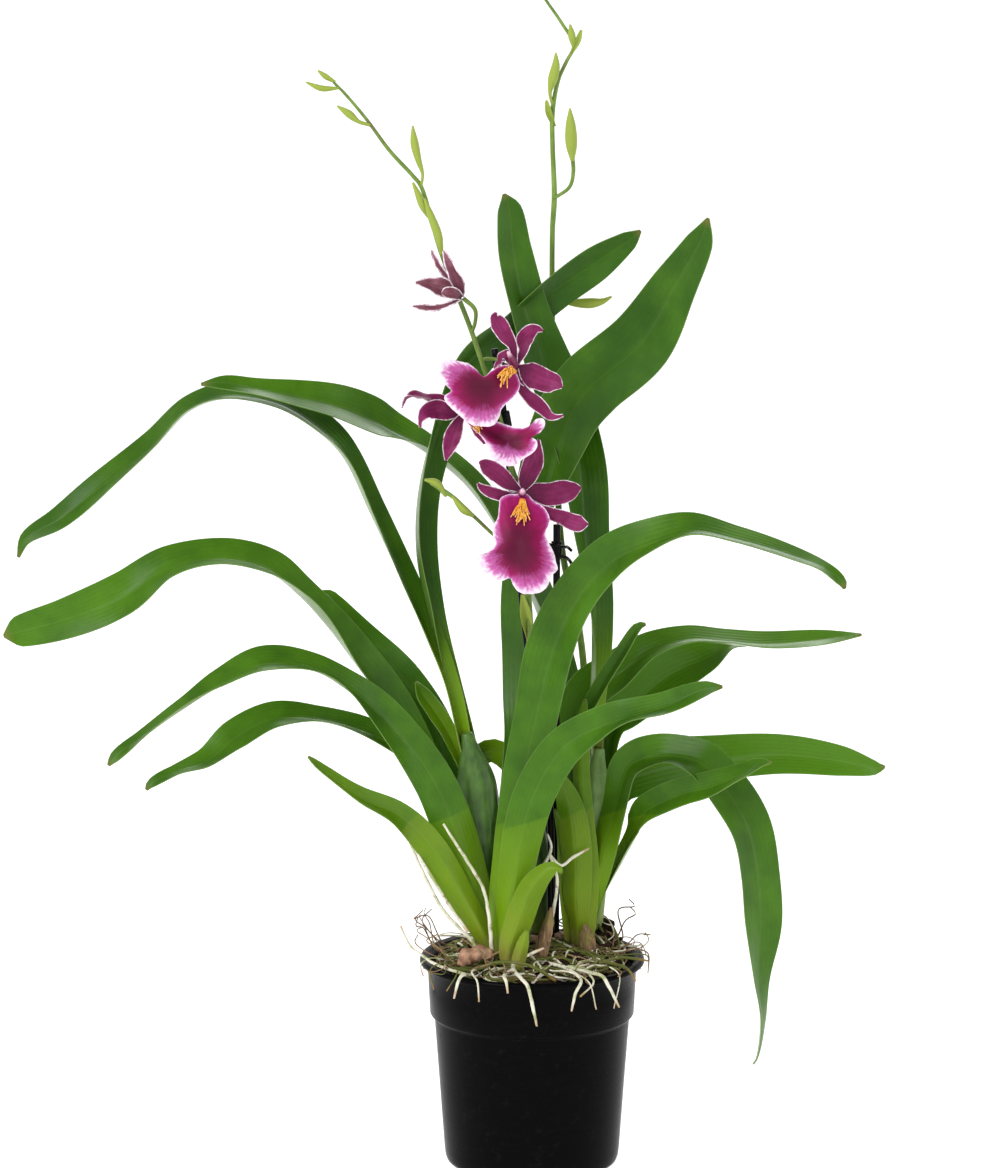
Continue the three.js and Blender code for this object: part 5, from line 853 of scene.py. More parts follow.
# %% The open flowers: tepals as leaves are given, lips as a middle and a border with its pale width
BLOOMS = {
    "one": {
        "column": [
            (-14, -13.6, 429, 1.5), (-10, -17.5, 430, 2.8), (-10, -21, 430.5, 2.6), (-11.5, -25, 434.5, 2),
            (-13, -27, 437.5, 0.9)],
        "tepals": [
            [(-9.5, -19, 431, 3, 0, 0), (-10.5, -20, 439.5, 5, 5, 8), (-14.5, -22, 446, 8.6, 10, 10),
             (-18, -23, 452, 9, 10, 12), (-20, -24, 455.5, 5, 10, 10), (-19, -25, 457.5, 1.6, 10, 0)],
            [(-8.5, -18, 430.5, 3, 0, 0), (-5, -18, 437.5, 5.4, -5, 14), (-4.5, -17, 442.5, 9.2, -10, 16),
             (-2, -15, 446.5, 8.8, -20, 20), (2, -13, 448, 5, -20, 10), (5, -13, 447, 1.6, -20, 0)],
            [(-8.5, -18, 429, 3, 0, 0), (-3.5, -18, 425.5, 12.8, -8, 6), (2, -18.5, 423.5, 13, -10, 8),
             (7, -19, 421.5, 12, -10, 8), (11.5, -20, 420.5, 9.6, -10, 8), (15, -21, 418.5, 1.6, -10, 0)],
            [(-9, -18.5, 428, 3, 0, 0), (-8, -19, 422, 4.5, -4, 12), (-3.5, -20, 415, 6.4, -8, 16),
             (1, -21, 411, 8, -10, 18), (5, -22, 407.5, 7.2, -10, 20), (8.5, -23, 404, 5, -12, 14),
             (12, -24, 403.5, 3, -14, 10), (15.5, -25, 404.5, 1.6, -10, 0)],
            [(-11, -19, 430.5, 3, 0, 0), (-13.5, -16, 434.5, 7, 30, 20), (-15.5, -14, 434, 8, 50, 20),
             (-18, -12, 431, 6, 60, 14), (-20, -11, 426.5, 1.6, 60, 0)]],
        "centre": (-26, -36, 420),
        "border": [
            (-7.5, -22, 423, 0.8), (-7, -24, 419.5, 0.8), (-8.5, -26, 416, 1), (-13.5, -30, 411.5, 1.2),
            (-16.5, -33, 408.5, 2), (-17.5, -36, 405, 3), (-20.5, -38, 401, 4.5), (-27.5, -40, 400.5, 5),
            (-32.5, -41, 402, 4), (-37.5, -41, 406, 3), (-42, -41, 410, 3), (-45, -41, 413.5, 3),
            (-45.5, -41, 416, 2), (-42, -40, 418.5, 1), (-45.5, -43, 423, 2.5), (-47.5, -45, 428, 5),
            (-47, -46, 433, 6), (-44, -46, 436, 6.5), (-39.5, -44, 434.5, 4.5), (-33.5, -42, 433, 2.5),
            (-29.5, -38, 429.5, 1.5), (-25.5, -34, 425, 0.8), (-21.5, -31, 428, 0.8),
            (-17.5, -27, 430, 0.8), (-11.5, -22, 429.5, 0.8)],
        "crest": [
            (-9, -24.5, 427, 2.4), (-12.5, -27, 427.5, 4), (-16, -30, 425.5, 3), (-19.5, -33, 424.5, 0.8)],
    },
    "two": {
        "column": [
            (-32.4, -14.6, 407, 1.4), (-35, -18, 405, 2.4), (-36, -22, 406, 2), (-35, -25, 410, 1)],
        "tepals": [
            [(-36.5, -18, 406, 3, 0, 0), (-46, -19, 412.5, 5, 40, 10), (-52.5, -20, 413, 7, 66, 10),
             (-58, -22, 414.5, 8, 62, 12), (-62, -24, 415, 7, 70, 12), (-65, -26, 414, 6, 100, 12),
             (-66.5, -28, 412, 4, 110, 10), (-67.5, -30, 409, 1.6, 110, 0)],
            [(-36.5, -18, 405, 3, 0, 0), (-44.5, -22, 406, 9.2, 0, 10), (-49.5, -25, 407.5, 10.6, 4, 12),
             (-54, -28, 407, 9, 10, 14), (-56.5, -30, 405, 6.4, 16, 14), (-58, -31, 402, 3, 20, 10),
             (-58, -32, 399, 1.6, 20, 0)],
            [(-36.5, -19, 404, 3, 0, 0), (-39, -21, 399.5, 6.6, 0, 8), (-41, -22, 394.5, 9.2, 4, 12),
             (-42.5, -23, 390.5, 8.6, 6, 12), (-43.5, -24, 387, 7, 6, 12), (-44.5, -25, 383.5, 3.8, 4, 8),
             (-45, -25, 381, 1.6, 0, 0)],
            [(-34, -18, 406, 3, 0, 0), (-31, -18, 414, 7, 0, 10), (-28, -18, 421, 1.6, 0, 0)],
            [(-33, -19, 404, 3, 0, 0), (-28, -19, 396, 7, 0, 10), (-25, -20, 389, 1.6, 0, 0)]],
        "centre": (-13, -33, 392),
        "border": [
            (-37, -20, 404, 0.8), (-33, -21, 402.5, 0.8), (-25, -25, 399.5, 0.8), (-19, -27, 401.5, 1),
            (-15.5, -29, 400.5, 1), (-11, -31, 399.5, 0.8), (-5.5, -32, 398.5, 0.8), (-0.5, -34, 401, 2),
            (2, -36, 404, 3), (5, -37, 404, 3.5), (6, -37, 402, 3), (4, -36, 397.5, 1.5),
            (-1.5, -34, 394.5, 0.8), (1.5, -37, 393, 2), (2, -38, 390, 2.5), (0, -39, 387, 3),
            (-5, -40, 384, 4), (-8, -41, 381.5, 5.5), (-12.5, -41, 380, 6.5), (-17.5, -41, 382, 6.5),
            (-21.5, -40, 385, 5), (-23, -38, 389.5, 4), (-25.5, -36, 393, 2), (-27.5, -33, 395.5, 1.2),
            (-32, -25.5, 398.5, 0.8)],
        "crest": [
            (-33, -24, 402, 1.2), (-30, -27, 401.5, 2.6), (-27, -29, 400.5, 2.2), (-25, -30.5, 399.5, 0.8)],
    },
    "three": {
        "column": [
            (-8.4, -14.8, 367, 1.5), (-6, -19, 363.5, 3), (-5.5, -23, 363.5, 2.6), (-5.5, -26, 365, 2),
            (-5.5, -27.5, 366.5, 0.9)],
        "tepals": [
            [(-7, -19, 365, 3, 0, 0), (-13, -20, 369, 8.2, 4, 8), (-18, -21, 373.5, 9.8, 6, 10),
             (-23, -22, 377, 9.2, 6, 10), (-26.5, -23, 379.5, 5, 4, 8), (-28, -23, 380, 1.6, 0, 0)],
            [(-5.5, -19, 364.5, 3, 0, 0), (-3.5, -19, 370, 9, 0, 10), (-1.5, -19, 375, 10.6, -4, 12),
             (0.5, -19, 380, 11, -8, 14), (2, -20, 385.5, 6.8, -10, 12), (3, -21, 391.5, 1.6, -10, 0)],
            [(-9, -19, 362, 3, 0, 0), (-14, -21, 362, 6, 10, 10), (-19.5, -23, 363.5, 6.6, 10, 12),
             (-24, -25, 365.5, 5.8, 6, 12), (-27, -26, 367.5, 3.8, 4, 8), (-28.5, -27, 369.5, 1.6, 0, 0)],
            [(-4.5, -19, 362.5, 3, 0, 0), (0.5, -18, 362.5, 11.5, -4, 8), (9.5, -17.5, 362.5, 12.4, -6, 8),
             (14.5, -17.5, 363.5, 12.8, -6, 8), (19, -18, 364.5, 11, -6, 8), (22.5, -18, 365.5, 6.8, -4, 8),
             (25, -18, 366, 1.6, 0, 0)],
            [(-5, -19.5, 361, 3, 0, 0), (3.5, -21, 355, 6, -4, 8), (10.5, -22, 352.5, 7, -6, 10),
             (15.5, -23, 351, 8, -8, 10), (20, -24, 349, 9, -8, 10), (24.5, -25, 348, 8.6, -8, 10),
             (28.5, -26, 348, 1.6, -4, 0)]],
        "centre": (-7.5, -39, 337.5),
        "border": [
            (-9, -22, 363, 0.8), (-13, -23, 363, 0.8), (-17, -25, 361, 1), (-17.5, -27, 357, 1.2),
            (-18, -28, 352, 1.5), (-20.5, -30, 347.5, 3), (-20.5, -33, 342.5, 3.5), (-19.5, -36, 338.5, 2),
            (-23.5, -38, 335, 2.5), (-27.5, -39, 333.5, 4.5), (-29, -40, 331.5, 6), (-27.5, -41, 328, 6),
            (-23, -42, 324, 5), (-16.5, -43, 321, 4), (-12, -42, 322.5, 1.5), (-10, -44, 318.5, 3.5),
            (-7, -45, 315.5, 4.5), (-1.5, -46, 314.5, 5), (3.5, -46, 315.5, 5), (7.5, -45, 319, 4.5),
            (9.5, -43, 324, 3.5), (12.5, -42, 326.5, 4.5), (11.5, -40, 331, 4), (10.5, -38, 335, 3.5),
            (8, -36, 339.5, 2.5), (6.5, -33, 344.5, 1.5), (8.5, -29, 350, 1.2), (7.5, -27, 354, 1),
            (4.5, -25, 357.5, 0.8), (0.5, -24, 359.5, 0.8), (-3, -22, 363, 0.8)],
        "crest": [
            (-5.5, -26, 361, 3), (-5.5, -28.5, 357, 4.8), (-6, -31.5, 352.5, 4), (-6.5, -34, 348.5, 1)],
    },
}

# %% [markdown]
# Over the lip's base stands the crest, a cushion of golden fingers that guides a bee. Each finger
# is a tiny tapered rod. They start along the crest's line, fan out sideways and hang forwards, so
# a short loop with a seeded random lean makes them all, and no two are alike.

# %% Make the flowers
FINGER_RADII = (0.6, 0.46, 0.24)  # mm, at its foot, its middle and its tip
FAN = 0.62                        # how far the fingers spread sideways
STRAY = 0.15
SAG = 0.22
rng = np.random.default_rng(11)


def slimmer(rows, share):
    """The same line with its radius multiplied by a share."""
    return [(x, y, z, share * radius) for x, y, z, radius in rows]


def petals(tepals, step, **shape):
    """Small thin blades, each rippled with a phase of its own."""
    return [blade(rows, gap=0.7, thick=(0.6, 0.35), phase=step * k, keel=0.25, **shape)
            for k, rows in enumerate(tepals)]


def crest(rows, fingers=52, length=8.0):
    """The crest's line as a low rod, and fingers that leave its upper half in a fan."""
    place, heading, _, _ = route(rows, 2 * fingers)
    bodies = [rod(slimmer(rows[:3], 0.5), gap=0.8, sides=12)]
    sideways = np.cross(heading, FRONT)
    for k, start in enumerate(place[:fingers]):
        share = k / (fingers - 1)
        away = 0.8 * heading[k] + rng.normal(0, FAN) * sideways[k] + (0.9 - 0.5 * share) * FRONT
        away += rng.normal(0, STRAY, 3)
        away /= np.linalg.norm(away)
        reach = length * rng.uniform(0.45, 1.1)
        drop = np.array([0, 0, -SAG * reach])
        points = [start, start + away * reach * 0.5 - drop * 0.3, start + away * reach + drop]
        rows = [(*point, radius) for point, radius in zip(points, FINGER_RADII)]
        bodies.append(rod(rows, gap=0.9, sides=8))
    return bodies


for name, parts in BLOOMS.items():
    bloom = [f"bloom_{name}"]
    tepals = petals(parts["tepals"], 2.1, columns=25, wave=0.7, waves=3.4)
    column = rod(slimmer(parts["column"], 0.8), gap=0.5, sides=20)
    piece(f"tepals_{name}", tepals, PETAL, bloom)
    piece(f"lip_{name}", [lip(parts["centre"], parts["border"])], LIP, bloom)
    piece(f"column_{name}", [column], COLUMN, bloom)
    piece(f"crest_{name}.grown", crest(parts["crest"]), CREST, [f"crest_{name}"])

HALF_OPEN = [
    [(-37, -14, 464.5, 3, 0, 10), (-38.5, -17, 471, 8, -24, 24), (-42.5, -18, 479.5, 6.5, -24, 26),
     (-46, -16, 488.5, 1.6, -10, 0)],
    [(-37, -15, 464.5, 3, 0, 10), (-46, -16, 469.5, 11, 16, 24), (-53, -17, 471.5, 8, 20, 26),
     (-60.5, -18, 472.5, 1.6, 10, 0)],
    [(-37, -16, 464.5, 3, 0, 0), (-41, -20, 467, 7.5, 0, -36), (-44.5, -21, 467.5, 7, 0, -36),
     (-47, -21, 467, 1.6, 0, -10)],
    [(-37, -15, 464, 2, 0, 0), (-43, -18, 461.5, 3, 0, 20), (-50.5, -20, 459.5, 4, 0, 24),
     (-58, -21, 460, 3.4, 0, 20), (-62, -21, 460.5, 1.6, 0, 0)],
    [(-38, -13, 467, 2, 0, 0), (-45.5, -12, 476, 3.2, 0, 20), (-49, -12, 481, 3.4, 0, 20),
     (-52.5, -12, 488.5, 1.6, 0, 0)],
]
half_open = petals(HALF_OPEN, 1.3, columns=21, wave=0.6, waves=2.6)
piece("flower_half_open.grown", half_open, PALE_PETAL, ["flower_half_open"])

# %% [markdown]
# Aerial roots wear a spongy white coat that turns green where it is wet and brown where it has
# rubbed on bark. They wander, thicken and thin, so the rods get knobs, and their finish mixes
# three kinds of cloud. The roots that lie over the bark are the solid model's, one object each.

# %% Roots
def root_finish(name, pale, green, brown, greenness):
    """Pale skin clouded with green and rubbed brown, tan over the last 7 mm to the tip."""
    f = Finish(name, roughness=0.7, specular_ior_level=0.2)
    _, _, left = f.facts("spot")
    tint = f.fact("tint", "Fac")
    skin = f.mix((f.noise(7) + greenness - 0.5 + tint * 0.3).ramp(0.42, 0.78), colour(pale), colour(green))
    skin = f.mix((f.noise(4, detail=5.0)).ramp(0.56, 0.72) * 0.75, skin, colour(brown))
    skin = f.mix((1 - (left / 7).ramp(0.1, 1.0)) * 0.5, skin, colour("#b07a4a"))
    pores = f.noise(0.7, detail=4.0)
    return f.done(base_color=skin, roughness=pores * 0.3 + 0.5, normal=f.relief(pores + f.noise(3), 0.25))


ROOT = root_finish("white root", "#d8d4c2", "#8f9a58", "#84684a", 0.36)
MOSSY_ROOT = root_finish("mossy root", "#847a48", "#565c26", "#543c26", 0.6)

ROOTS = {
    "root_left_high": [
        [(-47, -15, 187, 0.6), (-40, -16, 176, 0.8), (-33, -17, 165, 0.9), (-26, -19, 153, 0.9),
         (-23, -24, 140, 1), (-22, -26, 130, 1.1), (-21, -26, 112, 1.1)]],
    "root_left_low": [
        [(-67, -20, 184, 0.5), (-58, -21, 163, 0.8), (-47, -22, 142, 0.9), (-38, -23, 132, 0.9),
         (-30, -24, 123, 1), (-26, -25, 110, 1)],
        [(-65, -22, 180, 0.5), (-54, -24, 162, 0.8), (-43, -25, 144, 0.8), (-34, -25, 131, 0.9)]],
    "root_right_high": [
        [(8, -13, 181, 0.5), (10, -13, 174, 0.7), (9, -13, 170, 0.9), (4, -14, 161, 0.8),
         (1, -15, 155, 0.5)],
        [(9, -13, 170, 0.8), (15, -13, 164, 0.8), (22, -10, 168, 0.8), (30, -8, 172, 0.5)],
        [(9, -13, 170, 0.8), (13, -16, 158, 0.8), (11, -17, 140, 0.9), (7, -18, 124, 0.9),
         (5, -19, 109, 0.9)]],
    "root_front": [
        [(-14, -30, 111, 1.1), (-10, -34, 116, 1.2), (-3, -36, 121, 1), (6, -36, 125, 0.6)],
        [(-10, -34, 116, 1.1), (-10, -46, 116, 1.1), (-6, -58, 114.5, 1), (-3, -62.5, 112, 0.9),
         (0, -62.5, 100, 0.9), (2, -61, 90, 0.5)],
        [(-10, -44, 116, 0.9), (-15, -54, 115, 0.9), (-14, -61, 114, 0.8), (-13, -63, 108, 0.5)]],
    "root_rim_left": [
        [(-30, -34, 110, 0.9), (-34, -45, 113, 0.9), (-37, -52, 114.5, 0.9), (-39, -55, 111.5, 0.8),
         (-41, -55, 103, 0.5)],
        [(-34, -45, 113, 0.9), (-45, -36, 114, 0.8), (-53, -25, 114.5, 0.8), (-58, -17, 116, 0.7),
         (-65, -10, 120, 0.6), (-70, -8, 130, 0.5)]],
    "root_rim_green": [
        [(-46, -22, 110, 0.9), (-42, -30, 112.5, 1), (-30, -41, 114.5, 1), (-20, -45, 119.5, 0.9),
         (-6, -48, 120, 0.9), (4, -50, 116.5, 0.9), (12, -50, 111, 0.8)]],
    "root_rim_right": [
        [(0, -24, 112, 1), (5, -28, 115, 1), (16, -40, 116, 1), (28, -48, 115.5, 1), (36, -52, 114.2, 0.9),
         (40, -53, 108, 0.9), (45, -50, 97, 0.5)],
        [(16, -40, 116, 0.9), (22, -52, 115.5, 0.9), (25, -59, 113.5, 0.8), (22, -63, 108, 0.8),
         (20, -61, 98, 0.5)]],
    "root_back_right": [
        [(30, -20, 110, 1), (36, -24, 114, 0.9), (44, -32, 115, 0.9), (50, -37, 113.8, 0.8),
         (54, -39, 108, 0.5)],
        [(36, -24, 114, 0.9), (46, -20, 115.5, 0.8), (55, -18, 114.5, 0.8), (61, -20, 114, 0.5)]],
}

for name, branches in ROOTS.items():
    mossy = name in ("root_rim_green", "root_back_right")
    finish, slot = (MOSSY_ROOT, "mossy_root") if mossy else (ROOT, "root")
    grown = [rod(rows, gap=1.0, sides=14, knobs=0.07, seed=len(rows)) for rows in branches]
    piece(f"{name}.grown", grown, finish, [name])

# %% [markdown]
# Old leaf feet dry to tan paper and stand up round the new growths with torn tops. They are the
# same folded sheets as the leaves, thinner, with a ragged edge and a fibrous finish.

# %% Dry sheaths
def sheath_finish():
    """Fine fibres of two browns, clouded with olive and dark at the foot."""
    f = Finish("dry sheath", roughness=0.85, specular_ior_level=0.2)
    _, run, _ = f.facts("spot")
    fibres = f.noise(0.9, detail=4.0, at=f.grain(f.place(), (1.0, 1.0, 0.08)))
    skin = f.mix(fibres.ramp(0.3, 0.7), colour("#5c4632"), colour("#967a5c"))
    skin = f.mix(f.noise(9).ramp(0.5, 0.75) * 0.6, skin, colour("#7d7c3c"))
    skin = f.mix((1 - (run / 12).ramp(0.1, 1.0)) * 0.6, skin, colour("#4a3322"))
    return f.done(base_color=skin, normal=f.relief(fibres, 0.35))


SHEATH = sheath_finish()

DRY_SHEATHS = {
    "dry_sheath_left": [
        (-27, -22, 109, 8, 6, -36), (-28, -22, 115, 9, 6, -36), (-29, -22, 120, 7, 6, -20),
        (-31, -21, 125, 1.6, 6, -8)],
    "dry_sheath_middle": [
        (3, -22, 109, 7, 0, -36), (5, -22, 121, 9, -10, -36), (8, -23, 133, 8, -20, -30),
        (10, -24, 144, 1.6, -20, -10)],
    "dry_sheath_right": [
        (30, -5, 109, 11, 0, -36), (30, -5, 117, 11, 0, -36), (29, -4, 124, 8, 0, -20),
        (28, -4, 130, 1.6, 0, -8)],
}

for count, (name, rows) in enumerate(DRY_SHEATHS.items()):
    sheath = blade(rows, gap=0.8, columns=25, thick=(0.5, 0.4), wave=0.8, waves=2, phase=count,
                   keel=0, ragged=0.12)
    piece(f"{name}.grown", [sheath], SHEATH, [name])

# %% [markdown]
# Two black plastic stakes hold the spikes up, each with a clip. Their plastic is smooth with fine
# draw marks along its length and a little dust, so the finish is dark and glossy, its roughness
# clouded and its relief very shallow.

# %% Stakes and clips
def stake_finish(body, dust, roughness):
    """Black with faint lengthwise draw lines and specks of dust."""
    f = Finish("stake plastic", roughness=roughness, specular_ior_level=0.1)
    lines = f.noise(0.7, detail=2.0, at=f.grain(f.place(), (1.0, 1.0, 0.04)))
    specks = f.noise(3.5, detail=5.0).ramp(0.56, 0.75)
    skin = f.mix(specks * 0.3 + lines * 0.12, colour(body), colour(dust))
    rough = f.noise(22) * 0.14 + specks * 0.12 + (roughness - 0.07)
    return f.done(base_color=skin, roughness=rough, normal=f.relief(lines, 0.04))


STAKE = stake_finish("#060607", "#2c2d2b", 0.36)
LEANING_STAKE = [
    (10, 8, 30, 1.9), (10, 8, 140, 1.9), (9, 7, 197, 1.9), (-3, 3, 282, 1.9), (-12, -2, 374, 1.9),
    (-15, -3, 401, 1.9), (-20, -5, 437, 1.9)]
STRAIGHT_STAKE = [(13, 22, 30, 1.9), (13, 22, 341, 1.9)]
CLIPS = {
    "clip_right": [
        [(13, 22, 323, 2.9), (13, 22, 332, 2.9)],
        [(8, 18.5, 331, 0.9), (13, 18, 330, 0.9), (17, 22, 329, 0.9), (19, 27, 328, 0.9),
         (21, 28.5, 326, 0.8)],
        [(13, 18.5, 325, 0.9), (17, 20, 324, 0.9), (20, 26, 321, 0.9), (22, 28, 317, 0.8)]],
    "clip_left": [
        [(-13.5, -2.5, 396, 2.8), (-15, -3, 404, 2.8)],
        [(-18, -4, 401, 0.9), (-19.6, -7, 401, 0.9), (-19.8, -10.5, 401, 0.9), (-18, -13.4, 400.5, 0.8)]],
}

for name, rows in {"stake_leaning": LEANING_STAKE, "stake_straight": STRAIGHT_STAKE}.items():
    piece(f"{name}.drawn", [rod(rows, gap=3, sides=28)], STAKE, [name])
for name, bars in CLIPS.items():
    piece(f"{name}.moulded", [rod(rows, gap=0.6, sides=20) for rows in bars], STAKE, [name])

# %% [markdown]
# The pot is filled with bark chips, peat and a felt of thin roots. The ground itself is one skin
# whose height is a crown, a mound at the back and a roughness of many sizes. On it lie hundreds
# of chips, and because a shape that repeats so often must stay light, all chips share one small
# rounded block of a few dozen faces, which is stretched and turned in one array operation.

# %% The ground
GROUND_RADIUS = 53.0
GROUND_CENTRE = 116.0
GROUND_EDGE = 107.0
MOUND = {"x": 41.0, "y": 22.0, "height": 26.0, "spread": 13.0}
POT_INSIDE = [(0.5, 3.9), (43.5, 3.9), (50.1, 79.0), (52.4, 84.0)]  # radius and height of the soil
SOIL_SIDES = 180
SOIL_RINGS = 60


def ground(x, y):
    """Height of the bark: a crown falling to the edge, one mound, and a gentle unevenness."""
    out = np.hypot(x, y) / GROUND_RADIUS
    from_mound = np.hypot(x - MOUND["x"], y - MOUND["y"]) / MOUND["spread"]
    mound = MOUND["height"] * np.exp(-from_mound**2) * (1 - out**6)
    crown = GROUND_CENTRE - (GROUND_CENTRE - GROUND_EDGE) * out**2
    return crown + mound + 0.9 * np.sin(x / 5) * np.cos(y / 6)


def crumbs(x, y):
    """Roughness of the ground: eight sine waves of falling length in scattered directions."""
    total = np.zeros_like(x)
    for k in range(8):
        turn, size = 2.4 * k, 9.0 * 0.72**k
        total += size * 0.12 * np.sin((x * np.cos(turn) + y * np.sin(turn)) / size * 2.2 + 1.7 * k)
    return total


def bark_finish():
    """Nearly black peat to brown bark by tint, with pale grain and patches of moss."""
    f = Finish("bark and peat", roughness=0.95, specular_ior_level=0.1)
    tint = f.fact("tint", "Fac")
    grain = f.noise(1.4, detail=5.0)
    chip = f.mix((f.noise(9) * 0.6 + tint * 0.6).ramp(0.25, 0.9), colour("#0a0705"), colour("#33231a"))
    chip = f.mix(grain.ramp(0.5, 0.8) * 0.5, chip, colour("#4f3a29"))
    chip = f.mix(f.noise(16).ramp(0.58, 0.75) * 0.45, chip, colour("#5d6130"))
    return f.done(base_color=chip, normal=f.relief(grain + f.noise(4), 0.8))


BARK = bark_finish()
around = 2 * np.pi * np.arange(SOIL_SIDES) / SOIL_SIDES
inward = GROUND_RADIUS * np.linspace(1, 0.004, SOIL_RINGS)[:, None]
x, y = inward * np.cos(around), inward * np.sin(around)
smooth_edge = np.minimum(1, (GROUND_RADIUS - inward) / 6)
top = np.stack([x, y, ground(x, y) + crumbs(x, y) * smooth_edge], -1)
out, up = np.array(POT_INSIDE).T[:, :, None]
wall = np.stack([out * np.cos(around), out * np.sin(around), up + 0 * around], -1)
skin = np.concatenate([wall, top])
soil = closed_body(skin, tint=np.full(skin.shape[:2], 0.3))

# %% Chips on the ground
CHIP_COUNT = 330
CHIP_REACH = 49.5                             # mm from the middle of the pot
CHIP_SIZES = [(4, 12), (3, 8), (1.5, 4)]      # mm, least and most length, width and thickness
CHIP_SINK = 0.6
CHIP_TILT = 0.35                              # radians, the usual lean and roll
CHIP_DENTS = 0.09
SQUARENESS = 0.55                             # 1 leaves a ball, and 0 makes a brick
chips_rng = np.random.default_rng(5)
tilt = np.linspace(0.08, np.pi - 0.08, 6)[:, None]
spin = 2 * np.pi * (np.arange(8)[None, :] + 0.5) / 8
level = np.sin(tilt)
ball = np.stack([level * np.cos(spin), level * np.sin(spin), np.cos(tilt) + 0 * spin], -1)
block = np.sign(ball) * np.abs(ball) ** SQUARENESS


def turned(count, chips):
    """Random rotations: the columns of a matrix from a small tilt and any heading."""
    lean = chips.normal(0, CHIP_TILT, count)
    roll = chips.normal(0, CHIP_TILT, count)
    yaw = chips.uniform(0, 2 * np.pi, count)
    flat = np.stack([np.cos(yaw), np.sin(yaw), np.sin(lean)], -1)
    flat /= np.linalg.norm(flat, axis=1, keepdims=True)
    up = np.stack([np.sin(roll), -np.sin(lean), np.ones(count)], -1)
    side = np.cross(up, flat)
    side /= np.linalg.norm(side, axis=1, keepdims=True)
    return np.stack([flat, side, np.cross(flat, side)], -1)


def scattered(count, reach, sizes, sink, chips):
    """Chips spread evenly within a radius: block times half the size, turned, and laid on the
    ground. The distance from the middle is the root of a uniform number, so they don't crowd."""
    out = reach * np.sqrt(chips.uniform(0, 1, count))
    heading = chips.uniform(0, 2 * np.pi, count)
    spots = np.stack([out * np.cos(heading), out * np.sin(heading)], -1)
    heights = ground(spots[:, 0], spots[:, 1]) + sink
    size = np.stack([chips.uniform(*span, count) for span in sizes], -1) / 2
    rough = block[None] * (1 + chips.normal(0, CHIP_DENTS, (count, *block.shape[:2], 1)))
    shaped = np.einsum("nij,nrkj->nrki", turned(count, chips), rough * size[:, None, None, :])
    shaped += np.concatenate([spots, heights[:, None]], 1)[:, None, None, :]
    shades = chips.uniform(0, 1, count)
    return [closed_body(chip, tint=np.full(block.shape[:2], shade)) for chip, shade in zip(shaped, shades)]


chips = scattered(CHIP_COUNT, CHIP_REACH, CHIP_SIZES, CHIP_SINK, chips_rng)
piece("potting_bark.loose", [soil] + chips, BARK, ["potting_bark"])

# %% [markdown]
# Between the chips runs a tangle of thin roots, cream, olive and tan, and it hides most of the
# bark in the photograph. Each root wanders: it starts at a seeded place, takes a few steps whose
# direction drifts, and stays just above the ground, dipping under it at both ends. Others creep
# outwards over the lip of the pot and hang down, and dry wiry ones stick up along the edge.

# %% The felt of thin roots
TURN_BACK = 51.0     # mm from the middle, past which a wandering root bends away
FARTHEST = 50.5      # mm from the middle, where it is held back
DIP = -1.2           # mm, so that both ends start and stop in the ground
LIFTS = (1.4, 4.4)   # mm above the ground in between
HANG_OUTS = (34, 46, 57, 62, 62.3)
HANG_RISES = (114, 114.5, 115.5, 112.5)
WIRY_OUTS = (44, 52, 58, 63, 61)
felt_rng = np.random.default_rng(23)


def wandering(reach, steps, stride, radius):
    """Rows of a root that starts inside a radius and strolls over the ground."""
    out, heading = reach * np.sqrt(felt_rng.uniform()), felt_rng.uniform(0, 2 * np.pi)
    x, y = out * np.cos(heading), out * np.sin(heading)
    course = felt_rng.uniform(0, 2 * np.pi)
    rows = []
    for step in range(steps):
        lift = DIP if step in (0, steps - 1) else felt_rng.uniform(*LIFTS)
        rows.append((x, y, float(ground(x, y)) + lift, radius * felt_rng.uniform(0.8, 1.15)))
        course += felt_rng.normal(0, 0.4)
        far = np.hypot(x + stride * np.cos(course), y + stride * np.sin(course)) > TURN_BACK
        course += 1.3 if far else 0.0
        x, y = x + stride * np.cos(course), y + stride * np.sin(course)
        shrink = min(1.0, FARTHEST / max(np.hypot(x, y), 1.0))
        x, y = x * shrink, y * shrink
    return rows


def outward(outs, rises, radius, drift):
    """Rows of a root that leaves the ground in any direction: its distance from the pot's axis and
    its height at each step are given, and its heading drifts."""
    heading = felt_rng.uniform(0, 2 * np.pi)
    rows = []
    for out, rise in zip(outs, rises):
        heading += felt_rng.normal(0, drift)
        thin = radius * (1.1 - 0.5 * len(rows) / len(outs))
        height = rise + felt_rng.normal(0, 0.5)
        rows.append((out * np.cos(heading), out * np.sin(heading), height, thin))
    return rows


def felt(count, reach, steps, stride, radius):
    """So many wandering roots, each of a radius from the given span."""
    return [wandering(reach, steps, stride, felt_rng.uniform(*radius)) for _ in range(count)]


def hanging(count, radius):
    """Roots that creep over the lip, and each hangs down to a height of its own."""
    drops = felt_rng.uniform(93, 111, count)
    return [outward(HANG_OUTS, (*HANG_RISES, drop), felt_rng.uniform(*radius), 0.12)
            for drop in drops]


def wiry(count):
    """Dry roots that rise at the lip and curl back a little at the top."""
    tops = felt_rng.uniform(116, 130, count)
    return [outward(WIRY_OUTS, (110, 116, top, top + 3, top + 7), felt_rng.uniform(0.3, 0.46), 0.14)
            for top in tops]


def felt_piece(name, lines, finish):
    """One object of all the lines as rods, each with a tint of its own."""
    threads = [rod(rows, gap=1.8, sides=8, knobs=0.06, seed=k, tint=felt_rng.uniform(0.2, 0.8))
               for k, rows in enumerate(lines)]
    return piece(name, threads, finish)


